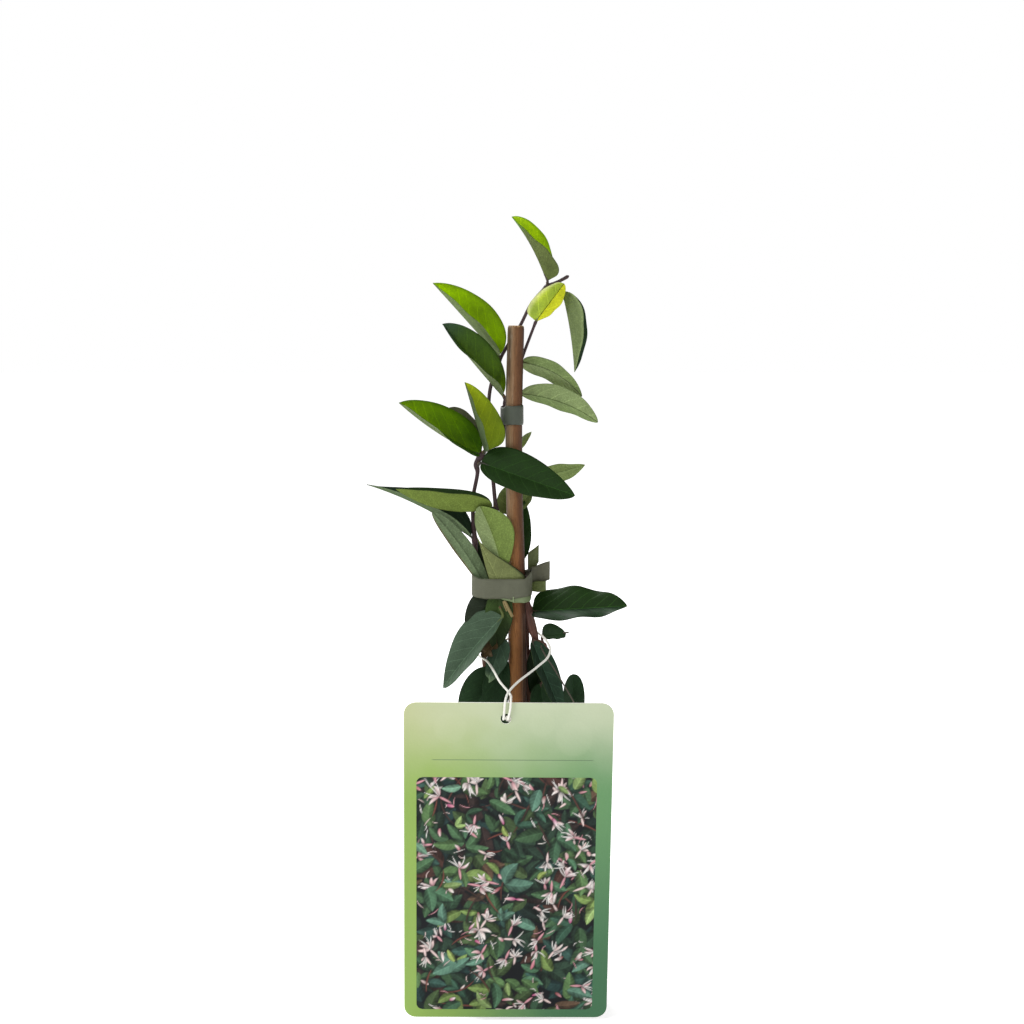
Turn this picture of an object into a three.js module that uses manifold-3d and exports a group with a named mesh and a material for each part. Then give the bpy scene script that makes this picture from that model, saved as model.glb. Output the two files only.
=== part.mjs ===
// Young potted honeysuckle: three twining shoots and two low shoots tied to a cane,
// standing in a round nursery pot, with a plain plant card hung on a string.
// Millimetres, +Z up, -Y is the front. The origin is the middle of the pot's underside.
import * as THREE from 'three';
import Module from 'manifold-3d';

const wasm = await Module();
wasm.setup();

// ---------------------------------------------------------------- sizes
const POT_R = 45;            // rim radius
const POT_H = 85;
const POT_BASE_R = 31.5;
const NECK_R = 41.5;         // under the collar, the wider band round the rim
const COLLAR_Z = 68;
const COLLAR_R = 43.8;
const COLLAR_STEP = 0.6;     // height of the step out to the collar
const WALL = 1.3;
const FLOOR = 1.8;
const DRAIN_R = 4;           // drainage holes
const DRAIN_RING = 21;
const GAP = 0.3;             // air between two separate pieces
const SOIL_TOP = 78;         // in the middle
const SOIL_RIM = 76.4;       // at the pot's wall
const STEM_FOOT = 58;        // the stems end here, down in the soil

const LEAF_T = 0.7;          // blade thickness
const STALK_R = 0.75;
const LEAST_HALF = 0.45;     // half the blade's width at its very base and tip
const STALK_IN = 0.12;       // the stalk runs on under this share of the midrib
const U_ROWS = [0, 0.06, 0.18, 0.36, 0.56, 0.76, 0.91, 1];
const V_PLAIN = [-1, 0, 1];        // a blade's columns, and a rippled blade's
const V_WAVED = [-1, -0.5, 0, 0.5, 1];

const CARD_W = 96;
const CARD_H = 156;
const CARD_T = 0.7;
const CARD_CORNER = 5.5;
const CARD_LEAN = THREE.MathUtils.degToRad(3.2);   // its top comes forward
const CARD_YAW = THREE.MathUtils.degToRad(1);
const CARD_ROLL = THREE.MathUtils.degToRad(0.6);   // its right side hangs lower
const CARD_MID = [-0.3, -45.45, 80.2];
const HOLE_R = 2.5;
const HOLE_X = -1.4;
const HOLE_DOWN = 7.6;       // from the card's top edge

// ---------------------------------------------------------------- helpers
const vec = (a) => new THREE.Vector3(a[0], a[1], a[2]);

function solid(points, faces) {
  const m = new wasm.Mesh({
    numProp: 3,
    vertProperties: new Float32Array(points.flatMap((p) => [p.x, p.y, p.z])),
    triVerts: new Uint32Array(faces.flat()),
  });
  return new wasm.Manifold(m);
}

function toGeometry(manifold) {
  const m = manifold.getMesh();
  const g = new THREE.BufferGeometry();
  g.setAttribute('position', new THREE.BufferAttribute(new Float32Array(m.vertProperties), 3));
  g.setIndex(new THREE.BufferAttribute(new Uint32Array(m.triVerts), 1));
  return g.toNonIndexed();
}

function fromGeometry(geometry) {
  const seen = new Map();
  const points = [];
  const faces = [];
  const flat = geometry.index ? geometry.toNonIndexed() : geometry;
  const p = flat.attributes.position;
  for (let i = 0; i < p.count; i += 3) {
    const f = [0, 1, 2].map((k) => {
      const v = new THREE.Vector3().fromBufferAttribute(p, i + k);
      const key = [v.x, v.y, v.z].map((c) => Math.round(c * 1e4)).join();
      if (!seen.has(key)) { seen.set(key, points.length); points.push(v); }
      return seen.get(key);
    });
    if (f[0] !== f[1] && f[1] !== f[2] && f[2] !== f[0]) faces.push(f);
  }
  return solid(points, faces);
}

function lathe(profile, segments = 48) {
  const g = new THREE.LatheGeometry(profile.map(([r, z]) => new THREE.Vector2(r, z)), segments);
  g.rotateX(Math.PI / 2);
  return fromGeometry(g);
}

// A closed tube through the points. radii is one number, or a number for each point.
function tube(points, radii, sides = 6, perSpan = 2) {
  const curve = new THREE.CatmullRomCurve3(points.map(vec), false, 'centripetal');
  const n = (points.length - 1) * perSpan;
  const at = (t) => {
    if (!Array.isArray(radii)) return radii;
    const x = t * (radii.length - 1);
    const i = Math.min(Math.floor(x), radii.length - 2);
    return radii[i] + (radii[i + 1] - radii[i]) * (x - i);
  };
  const out = [];
  const faces = [];
  let side = new THREE.Vector3(0, 1, 0);
  for (let i = 0; i <= n; i++) {
    const t = i / n;
    const tangent = curve.getTangent(t);
    side = side.clone().addScaledVector(tangent, -side.dot(tangent)).normalize();
    const other = new THREE.Vector3().crossVectors(tangent, side);
    for (let k = 0; k < sides; k++) {
      const a = (2 * Math.PI * k) / sides;
      out.push(curve.getPoint(t).addScaledVector(side, at(t) * Math.cos(a))
        .addScaledVector(other, at(t) * Math.sin(a)));
    }
  }
  for (let i = 0; i < n; i++) {
    for (let k = 0; k < sides; k++) {
      const a = i * sides + k;
      const b = i * sides + ((k + 1) % sides);
      faces.push([a, b, b + sides], [a, b + sides, a + sides]);
    }
  }
  for (let k = 1; k < sides - 1; k++) {
    faces.push([0, k + 1, k], [n * sides, n * sides + k, n * sides + k + 1]);
  }
  return solid(out, faces);
}

// A flat band of tape standing on edge along a path: [x, y, low z, high z] for each point.
function ribbon(path, thickness, closed, perSpan = 2) {
  const flat = new THREE.CatmullRomCurve3(path.map((p) => vec([p[0], p[1], 0])), closed,
    'centripetal');
  const spans = closed ? path.length : path.length - 1;
  const n = spans * perSpan;
  const rows = closed ? n : n + 1;
  const out = [];
  const faces = [];
  for (let i = 0; i < rows; i++) {
    const t = i / n;
    const x = t * spans;
    const j = Math.min(Math.floor(x), spans - 1);
    const [a, b] = [path[j], path[(j + 1) % path.length]];
    const lo = a[2] + (b[2] - a[2]) * (x - j);
    const hi = a[3] + (b[3] - a[3]) * (x - j);
    const p = flat.getPoint(t);
    const d = flat.getTangent(t);
    const across = new THREE.Vector3(d.y, -d.x, 0).multiplyScalar(thickness / 2);
    for (const [s, z] of [[1, lo], [1, hi], [-1, hi], [-1, lo]]) {
      out.push(new THREE.Vector3(p.x + s * across.x, p.y + s * across.y, z));
    }
  }
  for (let i = 0; i < n; i++) {
    const a = i * 4;
    const b = ((i + 1) % rows) * 4;
    for (let k = 0; k < 4; k++) {
      const l = (k + 1) % 4;
      faces.push([a + k, b + k, b + l], [a + k, b + l, a + l]);
    }
  }
  if (!closed) {
    const e = n * 4;
    faces.push([0, 1, 2], [0, 2, 3], [e, e + 2, e + 1], [e, e + 3, e + 2]);
  }
  return solid(out, faces);
}

// ---------------------------------------------------------------- one leaf
// Half of a leaf: its width laid flat, how far, in degrees, it folds up towards n at the base and at
// the tip, and its ends. A blunt base has a small a, a blunt tip has a small b.
const half = (w, fold, tipFold = fold, a = 0.5, b = 0.8) => ({ w, fold, tipFold, a, b });

// base, tip: ends of the midrib. n: the way the upper face looks. right, left: its two halves.
// arch, bend: the midrib's bow towards n and towards the right. wave: rippled margin.
// from: where its stalk starts.
function leaf(d) {
  const { right, left, arch = 0, bend = 0, wave = 0, waves = 2 } = d;
  const base = vec(d.base);
  const along = vec(d.tip).sub(base);
  const N0 = vec(d.n);
  const axis = along.clone().normalize();
  const S = new THREE.Vector3().crossVectors(axis, N0).normalize();
  const N = new THREE.Vector3().crossVectors(S, axis);
  const width = ({ w, a, b }, u) => {
    const peak = (a / (a + b)) ** a * (b / (a + b)) ** b;
    return Math.max((w * u ** a * (1 - u) ** b) / peak, LEAST_HALF);
  };
  const at = (u, v) => {
    const bow = 4 * u * (1 - u);
    const h = v < 0 ? left : right;
    const f = THREE.MathUtils.degToRad(h.fold + (h.tipFold - h.fold) * u);
    const s = Math.abs(v) * width(h, u);
    const ripple = wave * v * v * Math.sin(2 * Math.PI * waves * u + (v < 0 ? 1.3 : 0));
    return base.clone().addScaledVector(along, u)
      .addScaledVector(N, bow * arch + s * Math.sin(f) + ripple)
      .addScaledVector(S, bow * bend + Math.sign(v) * s * Math.cos(f));
  };
  const normal = (u, v) => {
    const e = 0.02;
    const du = at(Math.min(u + e, 1), v).sub(at(Math.max(u - e, 0), v));
    const one = (v0, v1) => new THREE.Vector3()
      .crossVectors(at(u, v1).sub(at(u, v0)), du).normalize();
    if (v !== 0) return one(v - (v > -1 + e ? e : 0), v + (v < 1 - e ? e : 0));
    const sum = one(-e, 0).add(one(0, e));
    return sum.multiplyScalar(Math.min(2 / sum.lengthSq(), 1.6 / sum.length()));
  };
  const columns = wave ? V_WAVED : V_PLAIN;
  const cols = columns.length;
  const rows = U_ROWS.length;
  const out = [];
  for (const s of [1, -1]) {
    for (const u of U_ROWS) {
      for (const v of columns) {
        out.push(at(u, v).addScaledVector(normal(u, v), (s * LEAF_T) / 2));
      }
    }
  }
  const id = (s, i, j) => s * rows * cols + i * cols + j;
  const faces = [];
  const quad = (p, q, r, t) => faces.push([p, q, r], [p, r, t]);
  for (let i = 0; i < rows - 1; i++) {
    for (let j = 0; j < cols - 1; j++) {
      quad(id(0, i, j), id(0, i, j + 1), id(0, i + 1, j + 1), id(0, i + 1, j));
      const [p, q, r, t] = [id(1, i, j), id(1, i, j + 1), id(1, i + 1, j + 1), id(1, i + 1, j)];
      faces.push([p, r, q], [p, t, r]);
    }
    quad(id(0, i, 0), id(0, i + 1, 0), id(1, i + 1, 0), id(1, i, 0));
    quad(id(0, i + 1, cols - 1), id(0, i, cols - 1), id(1, i, cols - 1), id(1, i + 1, cols - 1));
  }
  for (let j = 0; j < cols - 1; j++) {
    quad(id(0, 0, j + 1), id(0, 0, j), id(1, 0, j), id(1, 0, j + 1));
    quad(id(0, rows - 1, j), id(0, rows - 1, j + 1), id(1, rows - 1, j + 1), id(1, rows - 1, j));
  }
  const blade = solid(out, faces);
  const start = d.from ?? d.base;
  const inside = at(STALK_IN, 0).toArray();
  const first = vec(start).distanceTo(base) > 0.5 ? [start, d.base, inside] : [d.base, inside];
  return blade.add(tube(first, STALK_R, 4, 1));
}

function shoot(stems, leaves) {
  let all = tube(stems[0].path, stems[0].r);
  for (const s of stems.slice(1)) all = all.add(tube(s.path, s.r, s.r[0] < 0.6 ? 4 : 6));
  for (const l of leaves) all = all.add(leaf(l));
  const bodies = all.simplify(0.004).decompose();   // the joins can leave crumbs
  return bodies.sort((p, q) => q.volume() - p.volume())[0];
}

// ---------------------------------------------------------------- cane
const cane = {
  path: [[5, 0, 12], [4.8, 0, 80], [4.55, 0, 150], [4, 0, 214], [3.1, 0, 246], [2.8, 0, 286],
    [3.8, 0, 328]],
  r: [4.6, 4.6, 4.5, 4.2, 4, 4, 3.9],
};

// ---------------------------------------------------------------- shoots
const tallShoot = {
  stems: [{
    path: [[9.8, 5, STEM_FOOT], [9.9, 5, 110], [9.6, 5, 146], [9.8, 4.9, 163], [13.2, 3.8, 174],
      [9.8, 5.6, 191], [7.2, 6.4, 200], [1.9, 6.6, 214.5], [-3.9, 2.2, 230], [-5.8, -1, 241],
      [-7.2, 0.4, 254.7], [-8.6, 2.6, 268], [-9.3, 4, 283], [-8.6, 5.4, 297.4], [-4.6, 6.6, 310.2],
      [0, 7.4, 318.7], [5.7, 7.2, 327.7], [11.4, 4.8, 338.6], [18.4, 1.4, 346], [24.5, 0, 349],
      [28.7, -1, 351.3]],
    r: [2, 1.9, 1.8, 1.7, 1.8, 1.6, 1.4, 1.1, 1, 1, 0.95, 0.9, 0.9, 0.9, 0.85, 0.85, 0.8, 0.8, 0.8,
      0.7, 0.6],
  }, {
    path: [[9, 3.9, 207], [9.2, 3.6, 197], [10, 3, 189], [12, 2.4, 181], [14, 2.4, 176]],
    r: [1.1, 1.2, 1.3, 1.4, 1.2],
  }],
  leaves: [
    { base: [18.6, 0, 349], tip: [1.9, -6, 378.4], n: [0.87, 0, 0.49], right: half(9.2, 64, 64, 0.5, 0.55),
      left: half(9.6, 62, 0, 0.2, 0.6), arch: 1.5, from: [18.4, 1, 346] },
    { base: [25.9, -2, 344], tip: [31.4, -8, 306.5], n: [1, 0, 0.1], right: half(9.5, 48, 12, 0.5, 0.85),
      left: half(11.8, 50, 42, 0.42, 0.8), arch: 1, from: [18.6, 1, 346] },
    { base: [-4.3, 5.6, 313.6], tip: [-35.4, 2, 348], n: [0.73, 0, 0.69], right: half(13.9, 76, 76, 0.46, 0.74),
      left: half(13, 20, 12), arch: 0.1, from: [-4.6, 6.6, 310.2] },
    { base: [-7.6, -3.8, 241.6], tip: [-52.8, -13.8, 252], n: [0.2, 0, 0.98], right: half(11, 76),
      left: half(11, 62), arch: -5.2, from: [-5.8, -1, 240.6] },
    { base: [12.2, 4.8, 189.4], tip: [56.9, -10, 195], n: [0, -0.7, 0.7], right: half(10.2, 28, 28, 0.3, 0.45),
      left: half(12.2, 12, 12, 0.28, 0.62), wave: 1.2, waves: 2.4, from: [9.6, 5.6, 190] },
    { base: [14, 7, 128], tip: [26, 42, 122], n: [0.1, 0.2, 1], right: half(11, 18), left: half(11, 18),
      arch: 5, from: [9.8, 5, 120] },
    { base: [11, 8.6, 143], tip: [16, 48, 134], n: [0, 0.2, 1], right: half(10.5, 16), left: half(10.5, 16),
      arch: 5, from: [9.7, 5, 138] },
  ],
};

const caneShoot = {
  stems: [{
    path: [[4, 10, STEM_FOOT], [4.2, 10.2, 120], [3.6, 10.2, 160], [3, 10, 190], [2.4, 9.8, 206],
      [2, 9.2, 220], [1.9, 7.8, 236], [2.2, 7, 256], [0.8, 6.6, 271], [-1.3, 4.1, 279.8], [-1.7, 3.4, 286],
      [-1.5, 3.8, 291.4], [0.8, 6.2, 296], [3.8, 7.6, 304], [8, 7, 316], [11, 4.6, 324],
      [13.4, 2.7, 330.4]],
    r: [1.3, 1.2, 1.1, 1.1, 1, 1, 0.9, 0.9, 0.85, 0.8, 0.8, 0.8, 0.8, 0.8, 0.75, 0.7, 0.65],
  }],
  leaves: [
    { base: [13.3, 2.8, 330], tip: [26.3, -5, 347.6], n: [0, -1, 0.1], right: half(7.2, 50, 50, 0.9, 0.5),
      left: half(7.6, 4, 24, 0.22, 0.45) },
    { base: [-2.6, 5.4, 294.8], tip: [-30.5, -9.5, 329], n: [0.72, 0, 0.66], right: half(11.9, 84, 84, 0.6, 0.65),
      left: half(12, 26, -14, 0.7), arch: -0.4, from: [-1.3, 4.4, 292.4] },
    { base: [6.6, 7, 310.6], tip: [35.4, 4, 294.3], n: [0.35, 0.75, 0.55], right: half(5.2, 14, 14, 0.3, 0.6),
      left: half(9, 14, 14, 0.4, 0.65), arch: 2.2, bend: 2.6, from: [5.2, 7.6, 307.6] },
    { base: [6.2, 7.6, 295.6], tip: [42.8, -2, 282.5], n: [0.25, 0.75, 0.6], right: half(8.3, 14, 14, 0.5, 0.62),
      left: half(7.2, 14, 14, 0.5, 0.62), arch: 4, from: [1.4, 6.5, 297] },
    { base: [6.6, 8, 254], tip: [36.9, 2, 261.6], n: [-0.1, 0.6, 0.8], right: half(8, 0), left: half(9.5, -8),
      arch: -0.6, from: [2.2, 7, 255] },
    { base: [1.4, 10.4, 266], tip: [11.4, 12, 276.6], n: [0.3, -0.9, 0.1], right: half(2.2, 20),
      left: half(2.6, 20), from: [1.2, 6.9, 263] },
    { base: [0.9, 9.2, 236.6], tip: [-1.6, 13, 249.4], n: [0, -0.9, 0.3], right: half(6, 20), left: half(6, 20),
      from: [1.9, 7.8, 235] },
    { base: [4, 9.6, 239], tip: [12, 13, 247.6], n: [0, -0.9, 0.3], right: half(3.4, 20), left: half(3.4, 20),
      from: [1.9, 7.8, 236] },
    { base: [5.6, 10.8, 213], tip: [8, 10, 243], n: [0.2, -0.97, 0], right: half(4.8, 15), left: half(5.4, 15),
      from: [2.2, 9.5, 211] },
    { base: [0, 13, 134], tip: [-30, 40, 120], n: [-0.2, 0.2, 1], right: half(11, 18), left: half(11, 18),
      arch: 5, from: [4.1, 10.2, 128] },
  ],
};

const leftShoot = {
  stems: [{
    path: [[-9.5, 5, STEM_FOOT], [-9.8, 5, 110], [-10.6, 5, 150], [-12, 4, 170], [-14.2, 1.6, 192],
      [-14.4, 0.8, 205], [-15.7, 0.2, 219.6], [-16.1, 0, 226], [-16.9, 0.2, 238], [-16.6, 0.6, 247],
      [-14.6, -0.4, 258.6], [-15.2, -0.8, 262.6], [-12.6, -1.6, 266.4], [-11.6, -2.4, 268.2]],
    r: [1.5, 1.4, 1.3, 1.3, 1.2, 1.15, 1.1, 1.2, 1, 0.95, 0.95, 0.95, 0.9, 0.7],
  }],
  leaves: [
    { base: [-10.8, -4, 268.8], tip: [-20.2, -9, 301.8], n: [0.94, 0, 0.33], right: half(12.6, 82, 82, 0.22, 0.65),
      left: half(12, 16, 10, 0.4, 0.72), from: [-12.6, -1.6, 266.4] },
    { base: [-13.4, -2, 266.8], tip: [-51.2, -9, 292.2], n: [0.55, 0, 0.835], right: half(14.1, 72, 72, 0.5, 0.72),
      left: half(13, -6, 24), arch: -1.8, from: [-13.6, -1.2, 265] },
    { base: [-13.6, 2, 269.4], tip: [-28, 13, 288.4], n: [0.5, -0.5, 0.7], right: half(7, 30, 30, 0.5, 0.5),
      left: half(7, 20, 20, 0.5, 0.5), from: [-12.8, -1, 266.6] },
    { base: [-12.8, -4, 263.2], tip: [31.2, -22, 249.8], n: [0.1, -0.95, 0.3], right: half(8.3, 14, 14, 0.45, 0.6),
      left: half(11.6, 10, 10, 0.35, 0.8), from: [-14.8, -0.8, 261] },
    { base: [-17.8, -1, 227.2], tip: [-67.2, -5, 253], n: [0.5, 0, 0.87], right: half(11, 62, 62, 0.5, 1.3),
      left: half(7.4, 34), arch: 2.4, from: [-16.1, 0, 225] },
    { base: [-9.6, -2.6, 200], tip: [-36, -10, 240.6], n: [-0.35, 0.85, 0.3], right: half(3, 10, 10, 0.75, 0.6),
      left: half(3.8, 10, 10, 0.55, 0.6), bend: -1.9, from: [-14.3, 0.9, 199] },
    { base: [-13, 6, 118], tip: [-42, 24, 104], n: [-0.2, 0.1, 1], right: half(11, 20), left: half(11, 20),
      arch: 5, from: [-9.9, 5, 114] },
  ],
};

const lowLeftShoot = {
  stems: [{
    path: [[-4, -1, STEM_FOOT], [-4.2, -1, 100], [-4.4, 0, 140], [-3.6, 0, 160], [-3.4, -0.6, 176],
      [-4.4, -1, 188], [-4.6, -2, 197], [-3.4, -4.4, 203]],
    r: [1.4, 1.3, 1.2, 1.2, 1.1, 1.1, 1, 0.8],
  }],
  leaves: [
    { base: [-1.8, -4.9, 205], tip: [-13.3, -8.6, 243.1], n: [0, 1, -0.1], right: half(8.5, 36, 36, 1, 0.6),
      left: half(10.4, 0, 0, 1.6, 0.85), bend: -1.9, from: [-3.4, -4.4, 202] },
    { base: [-1.6, -6.2, 200.3], tip: [-14.4, -7.8, 227.4], n: [0.1, -1, 0.1], right: half(12.4, 6, 14, 0.2, 1.6),
      left: half(4.2, -10, -10, 0.2, 1.2), from: [-4.2, -3.6, 199.6] },
    { base: [-2.6, -7.5, 189.4], tip: [-30.7, -24, 158.4], n: [-0.2, -0.8, 0.55],
      right: half(12.3, 6, 6, 0.38, 0.95), left: half(9, 43, 43, 0.7, 0.5), bend: 1, from: [-4.6, -2.4, 194] },
    { base: [-6.6, -1, 194], tip: [-19.6, -8, 183.4], n: [-0.2, -0.9, 0.3], right: half(7.5, 15, 15, 0.5, 0.6),
      left: half(7.5, 15, 15, 0.5, 0.6), from: [-4.4, -1.4, 191] },
    { base: [-3.6, -3.6, 193.4], tip: [-6.8, -5, 169.8], n: [0, -1, 0.1], right: half(6.5, 15, 15, 0.5, 0.6),
      left: half(6.5, 15, 15, 0.5, 0.6), from: [-4.4, -1, 189] },
    { base: [-4.6, -2.6, 177], tip: [-10.6, -1.6, 168], n: [-0.4, -0.9, 0.2], right: half(4.2, 50, 50, 0.5, 0.5),
      left: half(4.2, 50, 50, 0.5, 0.5), from: [-3.4, -0.6, 176.4] },
    { base: [-2.2, -2, 177.6], tip: [-10.3, -4.1, 155.4], n: [-0.3, -0.9, 0.2], right: half(4.5, 15),
      left: half(4.5, 15), from: [-3.4, -0.6, 175] },
    { base: [-5, 1.4, 160.4], tip: [-21.4, -6, 136], n: [-0.2, -0.9, 0.4], right: half(11, 14, 14, 0.4, 0.6),
      left: half(11, 14, 14, 0.4, 0.6), from: [-3.6, 0, 158] },
    { base: [-3, -1.4, 158], tip: [-9.2, -7, 134], n: [0, -0.95, 0.3], right: half(7.5, 20), left: half(7.5, 20),
      from: [-3.9, 0, 152] },
    { base: [-8, -4, 120], tip: [-36, -26, 112], n: [-0.2, -0.2, 1], right: half(11, 18), left: half(11, 18),
      arch: 4, from: [-4.3, -0.6, 116] },
  ],
};

const lowRightShoot = {
  stems: [
    { path: [[18, 5, STEM_FOOT], [18, 5, 110], [17.4, 4.6, 150], [17.8, 3, 166], [17.4, 1.8, 174.6]],
      r: [1.3, 1.2, 1.1, 1.1, 0.9] },
    { path: [[18, 5, 100], [25, 3.6, 112], [30.2, 2.2, 124], [31, 2, 127]], r: [0.9, 0.8, 0.8, 0.7] },
    { path: [[17.2, 1, 174.2], [16, -2.4, 173.6], [18.2, -6.4, 169.6], [21.7, -10, 165], [27.5, -14, 156],
      [32.5, -17, 147.5], [35.4, -18, 141]], r: [0.45, 0.4, 0.38, 0.38, 0.36, 0.35, 0.3] },
    { path: [[26.8, 2.2, 179.1], [30, 1.4, 179.7]], r: [0.45, 0.35] },
  ],
  leaves: [
    { base: [11.8, -1.6, 176], tip: [26.4, -12, 141], n: [0.5, -0.8, 0.2], right: half(6.4, 28),
      left: half(6.8, 28), from: [17.2, 1.4, 174] },
    { base: [16.8, 4, 173], tip: [20.6, 8, 143], n: [0.3, -0.9, 0], right: half(8, 20, 20, 0.5, 0.6),
      left: half(8, 20, 20, 0.5, 0.6), from: [17.6, 2.2, 171] },
    { base: [16.6, 4.4, 177.4], tip: [28.2, 2, 179], n: [0, -0.8, 0.6], right: half(3, 15, 15, 0.3, 0.14),
      left: half(5.8, 15, 15, 0.35, 0.8), from: [17.8, 3, 170.6] },
    { base: [31, 2, 126.4], tip: [31.6, -2, 159.7], n: [0.3, -0.9, 0], right: half(6.2, 20, 20, 0.6, 0.42),
      left: half(6.2, 20, 20, 0.6, 0.42) },
    { base: [16, 1.4, 154], tip: [18, -6, 130], n: [0.2, -0.9, 0.2], right: half(6.8, 18, 18, 0.4, 0.6),
      left: half(6.8, 18, 18, 0.4, 0.6), from: [17.5, 4.2, 152] },
    { base: [21, 2, 118], tip: [42, -22, 108], n: [0.2, -0.2, 1], right: half(10.5, 18), left: half(10.5, 18),
      arch: 4, from: [18, 5, 112] },
    { base: [20, 9, 116], tip: [40, 30, 108], n: [0.2, 0.2, 1], right: half(10.5, 18), left: half(10.5, 18),
      arch: 4, from: [18, 5, 110] },
  ],
};

// ---------------------------------------------------------------- pot and soil
function buildPot() {
  const body = lathe([[0, 0], [POT_BASE_R, 0], [NECK_R, COLLAR_Z], [COLLAR_R, COLLAR_Z + COLLAR_STEP],
    [POT_R, POT_H - 0.6], [POT_R - 0.5, POT_H], [POT_R - WALL, POT_H],
    [COLLAR_R - WALL, COLLAR_Z + 1.6], [NECK_R - WALL, COLLAR_Z], [POT_BASE_R - WALL, FLOOR],
    [0, FLOOR]], 64);
  let pot = body;
  for (let k = 0; k < 6; k++) {
    const a = (Math.PI * 2 * (k + 0.5)) / 6;
    const drill = new THREE.CylinderGeometry(DRAIN_R, DRAIN_R, 6, 16);
    drill.rotateX(Math.PI / 2);
    drill.translate(DRAIN_RING * Math.cos(a), DRAIN_RING * Math.sin(a), 0);
    pot = pot.subtract(fromGeometry(drill));
  }
  return pot;
}

// The cane and each shoot's main stem stand in a plain round hole, a little wider than themselves.
const SHOOTS = [tallShoot, caneShoot, leftShoot, lowLeftShoot, lowRightShoot];
const STANDING = [cane, ...SHOOTS.map((s) => s.stems[0])];

function buildSoil() {
  const inner = WALL + 1.5 * GAP;
  let soil = lathe([[0, FLOOR + GAP], [POT_BASE_R - inner, FLOOR + GAP], [NECK_R - inner, COLLAR_Z],
    [COLLAR_R - inner - 0.4, COLLAR_Z + 2.4], [POT_R - inner - 0.9, SOIL_RIM], [34, SOIL_RIM + 0.8],
    [18, SOIL_TOP], [0, SOIL_TOP]], 48);
  for (const { path, r } of STANDING) {
    const [x, y, foot] = path[0];
    const bottom = foot - GAP;
    const long = SOIL_TOP + 1 - bottom;
    const drill = new THREE.CylinderGeometry(r[0] + 1.5 * GAP, r[0] + 1.5 * GAP, long, 16);
    drill.rotateX(Math.PI / 2);
    drill.translate(x, y, bottom + long / 2);
    soil = soil.subtract(fromGeometry(drill));
  }
  return soil;
}

// ---------------------------------------------------------------- ties
const TAPE_T = 0.6;
const LOWER_LOOP = [[-17.3, -1.6], [-16.8, -5.6], [-12, -7.5], [-4, -7.8], [2, -7.9], [8, -7.4],
  [11, -4.2], [11.5, 1], [10.9, 6.4], [7.5, 10.4], [2.5, 11.6], [-6, 8.6], [-13, 4.6], [-16.3, 1.6]];
const UPPER_LOOP = [[2.8, -4.8], [5.9, -3.6], [7.4, 0], [6.3, 3.5], [3.2, 5.1], [-0.8, 5.6], [-3.1, 4.5],
  [-3.5, 2.4], [-2.2, -1.2], [-0.2, -3.8]];

function buildLowerTie() {
  const z = LOWER_LOOP.map(([x, y]) => [198 - (y < -6 ? 0.2 : 0),
    208.8 - (y < -6 ? 1.1 : 0) + (x < -16 ? 0.4 : 0) + (x > 10 ? 1.8 : 0)]);
  let tie = ribbon(LOWER_LOOP.map((p, i) => [...p, ...z[i]]), TAPE_T, true);
  // the turn beneath it, showing below at the front right
  tie = tie.add(ribbon([[-1, -7.45, 197.4, 203], [3, -7.4, 196, 203], [7.8, -6.95, 195.8, 203],
    [10.6, -4, 196, 203], [11.1, 1, 197.2, 203]], TAPE_T, false));
  // the free ends at the right
  tie = tie.add(ribbon([[10.6, 5.4, 202.2, 210.8], [15, 5.6, 202.9, 212.4], [20.3, 4.6, 205.2, 214.4]],
    TAPE_T, false));
  tie = tie.add(ribbon([[9.6, 8.4, 204, 217.4], [12, 8.6, 208, 219.4], [15, 8.8, 213.2, 221.8]],
    TAPE_T, false));
  tie = tie.add(ribbon([[11.1, 4.4, 199.4, 203.8], [14.6, 3.4, 199.2, 204.6], [18.4, 2.6, 200, 204.8]],
    TAPE_T, false));
  // a dry end of fibre hanging under the knot
  tie = tie.add(ribbon([[-1.6, -7.7, 194.4, 199], [0.4, -7.85, 191.2, 199], [2.4, -7.85, 188.6, 190.8]],
    TAPE_T, false));
  return tie;
}

const buildUpperTie = () => ribbon(UPPER_LOOP.map(([x, y]) => [x, y, 281.3, x < -1.5 ? 289.4 : 290.4]),
  TAPE_T, true);

// ---------------------------------------------------------------- card and string
function buildCard() {
  const [w, h, c] = [CARD_W / 2, CARD_H / 2, CARD_CORNER];
  const s = new THREE.Shape();
  s.moveTo(-w + c, -h);
  s.lineTo(w - c, -h);
  s.absarc(w - c, -h + c, c, -Math.PI / 2, 0, false);
  s.lineTo(w, h - c);
  s.absarc(w - c, h - c, c, 0, Math.PI / 2, false);
  s.lineTo(-w + c, h);
  s.absarc(-w + c, h - c, c, Math.PI / 2, Math.PI, false);
  s.lineTo(-w, -h + c);
  s.absarc(-w + c, -h + c, c, Math.PI, Math.PI * 1.5, false);
  const hole = new THREE.Path();
  hole.absarc(HOLE_X, h - HOLE_DOWN, HOLE_R, 0, Math.PI * 2, true);
  s.holes.push(hole);
  const g = new THREE.ExtrudeGeometry(s, { depth: CARD_T, bevelEnabled: false, curveSegments: 8 });
  g.translate(0, 0, -CARD_T / 2);
  g.rotateX(Math.PI / 2);
  return g;
}

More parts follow.
